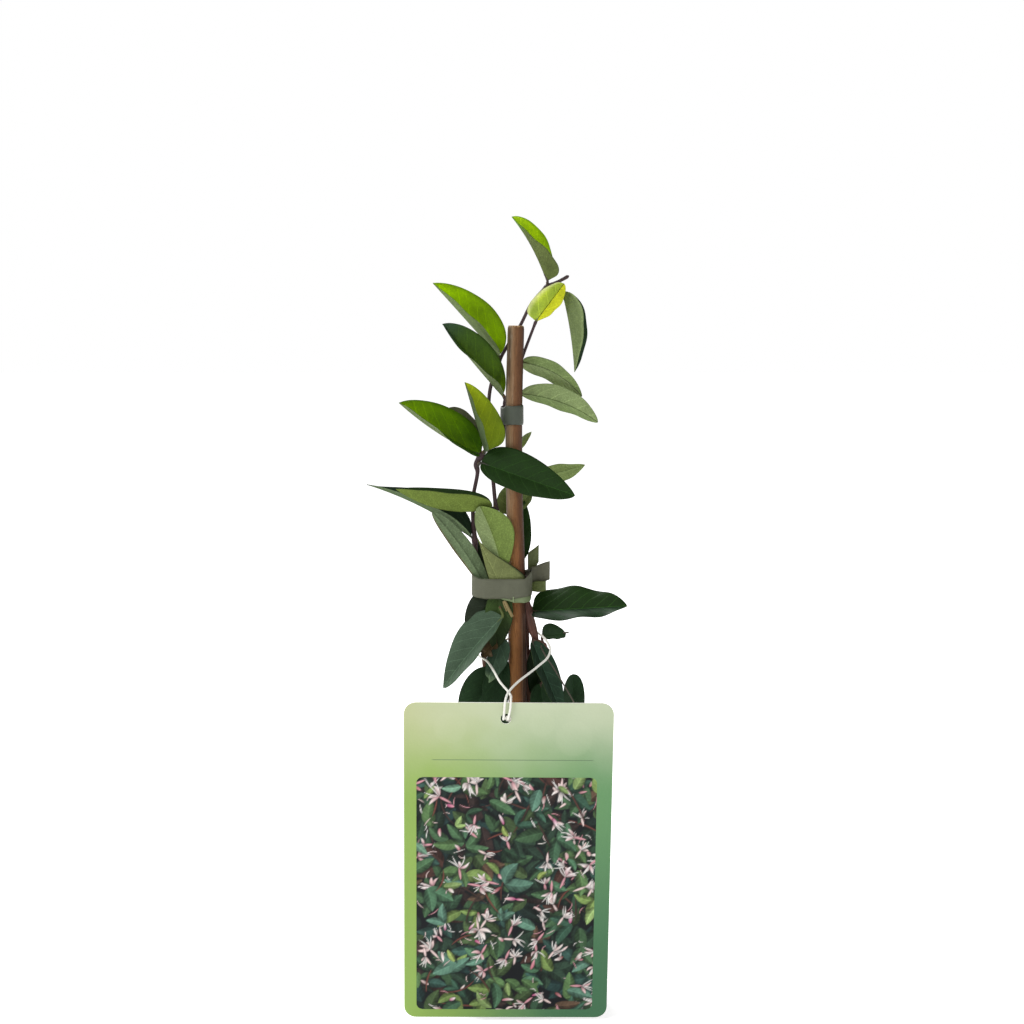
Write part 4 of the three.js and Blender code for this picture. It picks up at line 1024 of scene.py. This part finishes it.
# ---- card
CARD_W, CARD_H, CARD_T, CARD_CORNER = 96, 156, 0.7, 5.5
CARD_BEVEL = 0.08        # rounding of the card's edges
CORNER_STEPS = 8         # sides of a round corner
CARD_LEAN, CARD_YAW, CARD_ROLL = math.radians(3.2), math.radians(1), math.radians(0.6)
CARD_MID = np.array([-0.3, -45.45, 80.2])
TO_CARD = turned_about(2, CARD_YAW) @ turned_about(1, CARD_ROLL) @ turned_about(0, CARD_LEAN)
HOLE_R, HOLE_X, HOLE_DOWN = 2.5, -1.4, 7.6
PICTURE = (-42.3, -74.0, 41.0, 42.2)     # left, bottom, right and top of the picture's place
PICTURE_CORNER = 3.0
RULE_HEIGHT = 50.6       # of a thin printed line
PRINT_LIFT = 0.03        # how far the picture stands out of the card's face
# blurred lights in the print: x, y, radius and share
BLURRED_LIGHTS = ((30.0, 61.0, 9.0, 0.05), (15.0, 68.0, 6.5, 0.05), (-27.0, 66.0, 8.0, 0.04))


def on_card(points):
    """Points given as x, depth and height on the card, in the part's frame."""
    return np.asarray(points, float) @ TO_CARD.T + CARD_MID


def card_flat(points):
    """The print's coordinates: x and height on the card, so that one unit is 100 and 200 mm."""
    return np.stack([points[:, 0] / 100 + 0.5, points[:, 2] / 200 + 0.5], axis=1)


def rounded(left, bottom, right, top, corner):
    """A rectangle with round corners, counter-clockwise."""
    centres = [(right - corner, bottom + corner, -90), (right - corner, top - corner, 0),
               (left + corner, top - corner, 90), (left + corner, bottom + corner, 180)]
    return [(x + corner * math.cos(math.radians(a + 90 * k / CORNER_STEPS)),
             y + corner * math.sin(math.radians(a + 90 * k / CORNER_STEPS)))
            for x, y, a in centres for k in range(CORNER_STEPS + 1)]


def card_paint():
    """The printed side: pale at the top, yellow-green at the left, deep green at the lower right."""
    p = Paint("card_print")
    x, y = p.uv("flat").split()
    x, y = (x - 0.5) * 100.0, (y - 0.5) * 200.0
    clouds = p.noise(p.vector(x / 30.0, y / 30.0), 1.0, 2.0) - 0.5
    right = (x + clouds * 30.0).rise(-46.0, 46.0)
    low = (0 - y).rise(-40.0, 60.0)
    side = p.mix(right, rgba(130, 162, 68), rgba(88, 136, 84))
    base = p.mix(right * low, side, rgba(46, 100, 62))
    pale = (y + clouds * 24.0 - right * 3.0).rise(28.0, 80.0)
    top = p.mix((x + clouds * 40.0).rise(-60.0, 10.0), rgba(180, 184, 138), rgba(188, 196, 166))
    base = p.mix(pale * 0.92, base, top)
    for cx, cy, r, share in BLURRED_LIGHTS:
        away = ((x - cx) * (x - cx) + (y - cy) * (y - cy)) ** 0.5
        base = p.mix((1 - away.rise(r - 1.2, r)) * share, base, rgba(206, 214, 178))
    grain = p.noise(p.vector(x, y), 6.0, 2.0)
    rule = (1 - abs(y - RULE_HEIGHT).rise(0.12, 0.26)) * (1 - abs(x - 2.0).rise(36.0, 38.0))
    base = p.mix(rule * 0.7, base, rgba(70, 96, 66))
    worn = x.rise(47.5, 48.0) * p.noise(p.vector(x / 2.0, y / 2.0), 1.0, 3.0).rise(0.56, 0.7)
    base = p.scaled(p.mix(worn * 0.6, base, rgba(206, 208, 190)), 0.96 + grain * 0.08)
    bump = p.bump(p.noise(p.vector(x, y), 0.5, 3.0), 0.0002, 0.4)
    return p.done(p.surface(base, 0.33 + grain * 0.1, bump))


def make_card():
    w, h = CARD_W / 2, CARD_H / 2
    hole = [(HOLE_X + HOLE_R * math.cos(a), h - HOLE_DOWN + HOLE_R * math.sin(a)) for a in circle(32)]
    curve = bpy.data.curves.new("card_outline", "CURVE")
    curve.dimensions = "2D"
    curve.fill_mode = "BOTH"
    curve.extrude = CARD_T / 2 - CARD_BEVEL
    curve.bevel_depth = CARD_BEVEL
    curve.bevel_resolution = 1
    for loop in (rounded(-w, -h, w, h, CARD_CORNER), hole):
        s = curve.splines.new("POLY")
        s.points.add(len(loop) - 1)
        s.points.foreach_set("co", [c for x, y in loop for c in (x, y, 0, 1)])
        s.use_cyclic_u = True
    shaper = bpy.data.objects.new("card_outline", curve)
    mesh = bpy.data.meshes.new_from_object(shaper)
    bpy.data.objects.remove(shaper)
    # the curve lies flat: its x and y are the card's x and height, its z the depth
    local = np.array([v.co for v in mesh.vertices])
    points = np.stack([local[:, 0], -local[:, 2], local[:, 1]], axis=1)
    faces = [list(f.vertices) for f in mesh.polygons]
    form = Form()
    form.add(on_card(points), faces, rgb(236, 236, 226), flat=card_flat(points))
    form.part = [0 if f.normal.z > 0.9 and f.center.z > 0.2 else 1 for f in mesh.polygons]
    white = plain_paint("card_core", 900.0, 0.94, 1.05, 0.5, 0.00005)
    sheet = form.become("card_sheet", [card_paint(), white], "card", smooth=False, stands_for=["plant_card"])
    weld(sheet, 1e-7)


# ---- the card's picture
PAINT_STEP = 0.42        # between two painted points
FULL_WIDTH = 2.67        # makes a spindle's outline as wide as its width says
NIGHT = rgb(17, 20, 23)
BACK_GREENS = [rgb(26, 38, 34), rgb(34, 50, 40), rgb(30, 50, 48), rgb(48, 38, 36)]
MIDDLE_GREENS = [rgb(46, 70, 52), rgb(56, 82, 56), rgb(50, 78, 70), rgb(38, 56, 44), rgb(62, 80, 50)]
FRONT_GREENS = [rgb(78, 106, 66), rgb(70, 104, 78), rgb(88, 124, 106), rgb(104, 126, 70), rgb(62, 90, 62),
                rgb(52, 82, 66)]
LIGHT_GREENS = [rgb(128, 152, 94), rgb(140, 158, 88), rgb(110, 148, 124)]
TWIGS = [rgb(80, 50, 44), rgb(102, 58, 50), rgb(58, 42, 38)]
PETALS = [rgb(226, 222, 218), rgb(214, 208, 202), rgb(216, 192, 188), rgb(198, 142, 150)]
BUDS = [rgb(180, 76, 128), rgb(190, 110, 124), rgb(124, 54, 52), rgb(206, 180, 174)]
DRY = [rgb(66, 44, 38), rgb(84, 66, 52)]


class Canvas:
    """A fine grid of colours, on which leaves, twigs and petals are painted over each other."""

    def __init__(self, left, bottom, right, top, corner):
        self.columns = int((right - left) / PAINT_STEP) + 1
        self.rows = int((top - bottom) / PAINT_STEP) + 1
        y = np.linspace(bottom, top, self.rows)
        into = np.clip(np.abs(y - (bottom + top) / 2) - (top - bottom) / 2 + corner, 0, corner)
        inset = corner - np.sqrt(corner**2 - into**2)
        share = np.linspace(-1, 1, self.columns)[None, :]
        self.x = (left + right) / 2 + share * ((right - left) / 2 - inset)[:, None]
        self.y = np.broadcast_to(y[:, None], self.x.shape)
        self.low, self.near_left = bottom, left
        self.colour = np.zeros((self.rows, self.columns, 3))

    def around(self, x, y, reach):
        """The rows and columns that lie within reach of a point."""
        row, column = int((y - self.low) / PAINT_STEP), int((x - self.near_left) / PAINT_STEP)
        span = int(reach / PAINT_STEP) + 9
        return tuple(slice(max(0, k - span), max(0, k + span)) for k in (row, column))

    def lay(self, at, cover, colour):
        self.colour[at] += (colour - self.colour[at]) * cover[..., None]

    def spindle(self, x, y, angle, length, width, colour, bend=0.0, ribbed=1.0, shadow=0.6, end=None):
        """A pointed shape that starts at x, y: a leaf with its rib and side veins, a petal or a twig."""
        at = self.around(x, y, length * 1.2 + 2)
        dx, dy = self.x[at] - x, self.y[at] - y
        c, s = math.cos(angle), math.sin(angle)
        t = (dx * c + dy * s) / length
        inside = np.clip(t, 0, 1)
        across = dy * c - dx * s - bend * 4 * inside * (1 - inside)
        half = width / 2 * FULL_WIDTH * inside**0.6 * (1 - inside) ** 0.85
        ends = np.clip(np.minimum(t, 1 - t) * length / PAINT_STEP + 0.5, 0, 1)
        dim = np.clip((half + 0.9 - np.abs(across + 0.5)) / 1.2, 0, 1) * (t > -0.05) * (t < 1.05)
        self.lay(at, dim * shadow, NIGHT)
        cover = np.clip((half - np.abs(across)) / PAINT_STEP + 0.5, 0, 1) * ends
        rib = hump(across, 0, 0.26)
        vein = np.cos(TURN * (t * length - 0.8 * np.abs(across)) / 1.9)
        gloss = np.sin(dx * 1.3 + 2.1 * y) * np.sin(dy * 0.9 + 1.7 * x)
        edge = (np.abs(across) / np.maximum(half, 0.1)) ** 2
        tone = 1 + ribbed * (0.55 * rib + 0.1 * vein + 0.3 * np.tanh(across * 1.6) + 0.16 * gloss)
        tone = tone - 0.3 * edge + 0.3 * (t - 0.5)
        ink = colour if end is None else colour + (end - colour) * inside[..., None]
        self.lay(at, cover, ink * np.clip(tone, 0.2, 1.9)[..., None])


def paint_blossom(canvas, draw, x, y, size):
    """A few narrow petals that curl back from a short tube, with fine threads between them."""
    turn, petal, tube_ink = draw.uniform(0, TURN), draw.choice(PETALS[:3]), draw.choice(PETALS[2:])
    canvas.spindle(x, y, turn + math.pi, size * 1.3, 1.1, tube_ink, ribbed=0.2, shadow=0.4)
    for k in range(draw.choice([2, 3, 4])):
        angle = turn + (k - 1.5) * 0.7 + draw.uniform(-0.35, 0.35)
        canvas.spindle(x, y, angle, size * draw.uniform(0.7, 1.2), size * draw.uniform(0.26, 0.4), tube_ink,
                       bend=draw.uniform(-0.2, 0.2) * size, ribbed=0.1, shadow=0.35, end=petal)
    for _ in range(3):
        angle = turn + draw.uniform(-0.9, 0.9)
        canvas.spindle(x, y, angle, size * 1.4, 0.5, PETALS[0], bend=draw.uniform(-0.7, 0.7),
                       ribbed=0, shadow=0.2)


def paint_picture(canvas):
    """Twining leafy growth with small pale blossoms, drawn at random from the back to the front."""
    draw = random.Random(31)
    left, right = canvas.x.min(), canvas.x.max()
    bottom, top = canvas.y.min(), canvas.y.max()

    def anywhere():
        return draw.uniform(left - 4, right + 4), draw.uniform(bottom - 4, top + 4), draw.uniform(0, TURN)

    canvas.colour[:] = NIGHT
    # each layer's greens, leaves, longest leaf, twigs, blossoms, buds, threads and dry leaves
    layers = [(BACK_GREENS, 220, 17, 14, 0, 0, 0, 8), (MIDDLE_GREENS, 150, 15, 16, 22, 12, 40, 5),
              (FRONT_GREENS, 84, 14, 14, 50, 30, 70, 3), (LIGHT_GREENS, 12, 11, 3, 6, 4, 10, 0)]
    for greens, leaves, longest, twigs, blossoms, buds, threads, dry in layers:
        for k in range(leaves + dry):
            x, y, angle = anywhere()
            size = draw.uniform(0.5, 1.0) * longest
            green = draw.choice(greens if k < leaves else DRY) * draw.uniform(0.7, 1.2)
            width = size * draw.uniform(0.36, 0.52)
            canvas.spindle(x, y, angle, size, width, green, bend=draw.uniform(-0.12, 0.12) * size)
            if draw.random() < 0.45:
                twin = angle + draw.choice([-1, 1]) * draw.uniform(0.8, 1.5)
                canvas.spindle(x, y, twin, size * 0.85, width * 0.9, green,
                               bend=draw.uniform(-0.1, 0.1) * size)
        for _ in range(twigs):
            x, y, angle = anywhere()
            canvas.spindle(x, y, angle, draw.uniform(8, 22), 0.8, draw.choice(TWIGS),
                           bend=draw.uniform(-2, 2), ribbed=0.3)
        for _ in range(threads):
            x, y, angle = anywhere()
            canvas.spindle(x, y, angle, draw.uniform(2, 6), 0.42, draw.choice(PETALS),
                           bend=draw.uniform(-0.8, 0.8), ribbed=0, shadow=0.2)
        for _ in range(blossoms):
            x, y, _ = anywhere()
            paint_blossom(canvas, draw, x, y, draw.uniform(3, 5.2))
        for _ in range(buds):
            x, y, angle = anywhere()
            canvas.spindle(x, y, angle, draw.uniform(2.6, 6), draw.uniform(1, 1.8), draw.choice(BUDS),
                           bend=draw.uniform(-0.4, 0.4), ribbed=0.2, end=draw.choice(PETALS))


def picture_paint():
    """Printing ink under a thin gloss."""
    p = Paint("card_picture_print")
    x, y = p.uv("flat").split()
    where = p.vector(x * 100.0, y * 200.0)
    grain = p.noise(where, 5.0, 2.0)
    clouds = p.noise(where, 0.16, 2.0)
    colour = p.scaled(p.tint(), 0.82 + grain * 0.2 + clouds * 0.16)
    bump = p.bump(p.noise(where, 0.5, 3.0), 0.0002, 0.4)
    return p.done(p.surface(colour, 0.4 + grain * 0.1, bump, gloss=0.15))


def make_picture():
    """The printed picture: a thin sheet that lies in the card's face."""
    canvas = Canvas(*PICTURE, PICTURE_CORNER)
    paint_picture(canvas)
    x, y, colour = canvas.x.ravel(), canvas.y.ravel(), canvas.colour.reshape(-1, 3)
    k = np.arange(len(x)).reshape(canvas.rows, canvas.columns)
    rim = np.concatenate([k[0, :-1], k[:-1, -1], k[-1, :0:-1], k[:0:-1, 0]])
    back = len(x) + np.arange(len(rim))
    faces = np.stack([k[:-1, :-1], k[:-1, 1:], k[1:, 1:], k[1:, :-1]], axis=2).reshape(-1, 4).tolist()
    faces += [[a, c, d, b] for a, b, c, d in zip(rim, np.roll(rim, -1), back, np.roll(back, -1))]
    faces.append(back[::-1].tolist())
    front = np.stack([x, np.full(len(x), -CARD_T / 2 - PRINT_LIFT), y], axis=1)
    hidden = np.stack([x[rim], np.full(len(rim), -CARD_T / 2 + PRINT_LIFT), y[rim]], axis=1)
    points = np.vstack([front, hidden])
    form = Form()
    form.add(on_card(points), faces, np.vstack([colour, colour[rim]]), flat=card_flat(points))
    form.become("card_picture", [picture_paint()], "card", smooth=False)


make_card()
make_picture()

# ---- string
STRING_R = 0.55
STRING_ROWS, STRING_SIDES = 700, 16
STRING_LAY = 3.4         # length in which the two strands turn once round each other
STRING = [[-2, -47.3, 150.2], [-2, -49.6, 150.3], [-1.9, -51.1, 151.8], [-1.6, -51.4, 154.8],
          [-1.4, -51.5, 157.6], [-1, -50.9, 160], [-0.2, -48, 161.6], [1.9, -41, 162.8], [5.4, -33, 164.2],
          [10.2, -25, 165.9], [15.2, -18, 168.2], [18.9, -12, 170.2], [20.4, -7, 172.8], [19, -2.6, 175.9],
          [15.9, 3, 178], [14, 7, 178.4], [9.6, 11, 177.6], [3.4, 12.8, 175.4], [-6, 9.6, 171.6],
          [-14.6, 4.6, 168.6], [-14, 0.4, 168], [-10.4, -5, 167], [-7.2, -14, 164.8], [-3.9, -26, 162],
          [0, -38, 160.4], [1.4, -45.5, 160.1], [1.4, -50.4, 160.2], [1.3, -51.5, 157.8], [1, -51.4, 154.8],
          [0.3, -51.1, 151.8], [0, -49.6, 150.3], [0, -47.3, 150.2]]
KNOT_AT = np.array([0.5, -46.2, 149.5])
KNOT = [[-1.6, 0.3, 0], [-0.9, -0.5, 1.0], [0.6, 0.2, 0.9], [1.2, 0.6, -0.2], [0.2, 0.9, -1.0],
        [-1.0, 0.2, -0.5], [-0.2, -0.6, 0.6], [1.0, -0.4, 0.1], [0.9, 0.5, -2.2], [1.4, 0.9, -4.6]]


def make_string():
    """Two strands twisted round each other, as one skin, and their knot."""
    line, _ = spline(STRING, STRING_ROWS)
    run = run_along(line)
    lay = TURN * run / STRING_LAY
    lobes = STRING_R * (0.86 + 0.17 * np.abs(np.cos(circle(STRING_SIDES)[None, :] - lay[:, None])))
    twist, knot = Form(), Form()
    twist.add(skin_round(line, lobes, STRING_SIDES), rings(STRING_ROWS, STRING_SIDES), rgb(238, 236, 228))
    cotton = plain_paint("cotton", 2400.0, 0.82, 1.1, 0.8, 0.0001)
    made = twist.become("card_string_twist", [cotton], "string", stands_for=["card_string"])
    tube(knot, [KNOT_AT + q for q in KNOT], [STRING_R] * len(KNOT), rgb(236, 234, 226), sides=10, step=0.3)
    knot_made = knot.become("string_knot", [cotton], "string")
    (line[::4] * MM).tolist()


make_string()

# ---- pot and compost
POT_R, POT_H, POT_BASE_R, WALL, FLOOR = 45, 85, 31.5, 1.3, 1.8
NECK_R, COLLAR_R, COLLAR_Z = 41.5, 43.8, 68      # the pot under its collar, and the collar
DRAINS, DRAIN_R, DRAIN_RING = 6, 4, 21
POT_SIDES = 144
COMPOST_R = POT_R - WALL - 1.2
COMPOST_TOP, COMPOST_FOOT, COMPOST_FALL = 77.2, 70.5, 1.6    # heights, and how far it falls to its edge
COMPOST_RINGS, COMPOST_SIDES = 46, 132
CRUMBS, CHIPS = 330, 0.3       # how many crumbs, and the share of them that are flat chips of bark
CRUMB_SIZES = (0.5, 2.6, 0.9)  # least, greatest and most usual size


def turned(form, profile, sides, tint):
    """A profile of (radius, height) turned about the upright axis, with a flat floor at each end of it."""
    points = [(r * math.cos(a), r * math.sin(a), z) for a in circle(sides) for r, z in profile]
    n = len(profile)
    faces = []
    for k in range(sides):
        a, b = k * n, ((k + 1) % sides) * n
        faces += [[a + i, b + i, b + i + 1, a + i + 1] for i in range(n - 1)]
    faces.append([k * n for k in range(sides)][::-1])
    faces.append([k * n + n - 1 for k in range(sides)])
    form.add(points, faces, tint)


def make_pot():
    body, pins = Form(), Form()
    black = rgb(40, 41, 42)
    profile = [(POT_BASE_R - 1.0, 0.0), (POT_BASE_R, 0.8)]
    for z in np.linspace(6, COLLAR_Z - 1, 12):
        profile.append((POT_BASE_R + (NECK_R - POT_BASE_R) * z / COLLAR_Z, z))
    profile += [(NECK_R, COLLAR_Z - 0.3), (NECK_R + 0.5, COLLAR_Z), (COLLAR_R - 0.3, COLLAR_Z + 0.3),
                (COLLAR_R, COLLAR_Z + 0.9), (COLLAR_R + 0.9, POT_H - 3.2), (POT_R, POT_H - 2.6),
                (POT_R, POT_H - 0.7), (POT_R - 0.25, POT_H - 0.15), (POT_R - 0.65, POT_H),
                (POT_R - WALL + 0.2, POT_H - 0.1), (POT_R - WALL, POT_H - 0.5),
                (COLLAR_R - WALL, COLLAR_Z + 1.6), (NECK_R - WALL, COLLAR_Z),
                (POT_BASE_R - WALL, FLOOR + 0.4), (POT_BASE_R - WALL - 0.6, FLOOR)]
    turned(body, profile, POT_SIDES, black)
    for k in range(DRAINS):
        a = TURN * (k + 0.5) / DRAINS
        x, y = DRAIN_RING * math.cos(a), DRAIN_RING * math.sin(a)
        tube(pins, [[x, y, -3], [x, y, 0.9], [x, y, 5]], [DRAIN_R] * 3, black, sides=32, step=4)
    plastic = plain_paint("pot_plastic", 90.0, 0.7, 1.5, 0.5, 0.00012)
    cut_away(body.become("pot_shell", [plastic], "pot_plastic", stands_for=["pot"]), pins)


make_pot()


def crumb_shape():
    """A ball of 42 points."""
    b = bmesh.new()
    bmesh.ops.create_icosphere(b, subdivisions=2, radius=1.0)
    points = np.array([v.co for v in b.verts])
    faces = [[v.index for v in f.verts] for f in b.faces]
    b.free()
    return points, faces


def ring_pairs(first):
    """Each point of a ring of the compost with its neighbour."""
    return [(first + k, first + (k + 1) % COMPOST_SIDES) for k in range(COMPOST_SIDES)]


def compost_bed(form, brown):
    """A disc of compost with a rough top and a flat underside."""
    points, tints = [], []
    for i in range(COMPOST_RINGS):
        r = COMPOST_R * (i + 0.3) / (COMPOST_RINGS - 0.7)
        for k in range(COMPOST_SIDES):
            a = TURN * (k + 0.5 * (i % 2)) / COMPOST_SIDES
            x, y = r * math.cos(a), r * math.sin(a)
            z = COMPOST_TOP - COMPOST_FALL * (r / COMPOST_R) ** 2
            z += 1.0 * rough_noise((x, y, 0), 5.0) + 0.6 * rough_noise((x, y, 7), 1.9)
            points.append((x, y, min(z, COMPOST_TOP + COMPOST_FALL)))
            tints.append(brown * (1 + 0.5 * rough_noise((x, y, 3), 2.6)))
    n = len(points)
    for a in circle(COMPOST_SIDES):
        points.append((COMPOST_R * math.cos(a), COMPOST_R * math.sin(a), COMPOST_FOOT))
        tints.append(brown * 0.6)
    points += [(0, 0, COMPOST_TOP + 0.4), (0, 0, COMPOST_FOOT)]
    tints += [brown, brown * 0.6]
    faces = [[b, b + COMPOST_SIDES, c + COMPOST_SIDES, c]
             for i in range(COMPOST_RINGS) for b, c in ring_pairs(i * COMPOST_SIDES)]
    top, foot = n + COMPOST_SIDES, n + COMPOST_SIDES + 1
    for b, c in ring_pairs(0):
        faces += [[top, b, c], [foot, n + c, n + b]]
    form.add(points, faces, tints)


def make_soil():
    draw = random.Random(4)
    form = Form()
    brown = rgb(62, 44, 32)
    compost_bed(form, brown)
    ball, ball_faces = crumb_shape()
    for _ in range(CRUMBS):
        r, a = COMPOST_R * math.sqrt(draw.random()) * 0.96, draw.uniform(0, 6.283)
        size = draw.triangular(*CRUMB_SIZES)
        chip = draw.random() < CHIPS
        shape = ball * [size * (1.7 if chip else 1), size, size * (0.4 if chip else 0.8)]
        seed = draw.uniform(0, 50)
        bumps = np.array([1 + 0.45 * rough_noise(q * 2.2, 1.0, seed) for q in ball])
        spin = turned_about(2, draw.uniform(0, 6.283))
        z = COMPOST_TOP + 0.2 - COMPOST_FALL * (r / COMPOST_R) ** 2 + draw.uniform(-0.2, 0.5)
        tone = rgb(104, 74, 50) if chip else brown * draw.uniform(0.6, 1.5)
        at = [r * math.cos(a), r * math.sin(a), z]
        form.add((shape * bumps[:, None]) @ spin.T + at, ball_faces, tone)
    earth = plain_paint("compost", 420.0, 0.45, 1.55, 0.92, 0.0005)
    form.become("soil_top", [earth], "compost", stands_for=["soil"])


make_soil()

# ---- stage, light and camera
# these are in metres
CAMERA_AT = (0.0019, -0.7427, 0.3434)
CAMERA_TO = (0.0019, 0.0, 0.239)
LENS, SENSOR = 54.84, 36
FLOOR_REACH = 6
SKY_LIGHT, SKY_SEEN = 0.58, 1.0      # strength of the sky as a light, and as it is seen


def link(name, data, at=(0, 0, 0), to=None):
    """An object of the studio, turned to face a point if one is given."""
    made = bpy.data.objects.new(name, data)
    made.location = at
    if to:
        made.rotation_euler = (Vector(to) - Vector(at)).to_track_quat("-Z", "Y").to_euler()
    bpy.context.scene.collection.objects.link(made)
    return made


def make_stage():
    p = Paint("floor")
    sockets = {"Base Color": rgba(246, 246, 246), "Roughness": 0.9, "Specular IOR Level": 0.1,
               "Emission Color": (1.0, 1.0, 1.0, 1.0), "Emission Strength": 0.52}
    f = FLOOR_REACH
    mesh = bpy.data.meshes.new("floor")
    mesh.from_pydata([(-f, -f, 0), (f, -f, 0), (f, f, 0), (-f, f, 0)], [], [(0, 1, 2, 3)])
    mesh.materials.append(p.done(p.node("BsdfPrincipled", {}, sockets)))
    floor = link("floor", mesh)


def make_lights():
    for name, at, to, size, power in (("back", (-0.6, 1.1, 1.2), (0, 0, 0.25), 0.7, 22),
                                      ("key", (-1.0, -0.8, 1.0), (0, 0, 0.2), 0.8, 10)):
        lamp = bpy.data.lights.new(name, "AREA")
        lamp.size, lamp.energy = size, power
        link(name, lamp, at, to)
    world = bpy.data.worlds.new("studio")
    bpy.context.scene.world = world
    world.use_nodes = True
    nodes, links = world.node_tree.nodes, world.node_tree.links
    sky = nodes["Background"]
    sky.inputs["Color"].default_value = (1, 1, 1, 1)
    seen, strength = nodes.new("ShaderNodeLightPath"), nodes.new("ShaderNodeMapRange")
    strength.inputs["To Min"].default_value = SKY_LIGHT
    strength.inputs["To Max"].default_value = SKY_SEEN
    links.new(seen.outputs["Is Camera Ray"], strength.inputs["Value"])
    links.new(strength.outputs["Result"], sky.inputs["Strength"])


def make_camera():
    data = bpy.data.cameras.new("camera")
    data.lens, data.sensor_width = LENS, SENSOR
    bpy.context.scene.camera = link("camera", data, CAMERA_AT, CAMERA_TO)
    bpy.context.scene.view_settings.view_transform = "Standard"


make_stage()
make_lights()
make_camera()
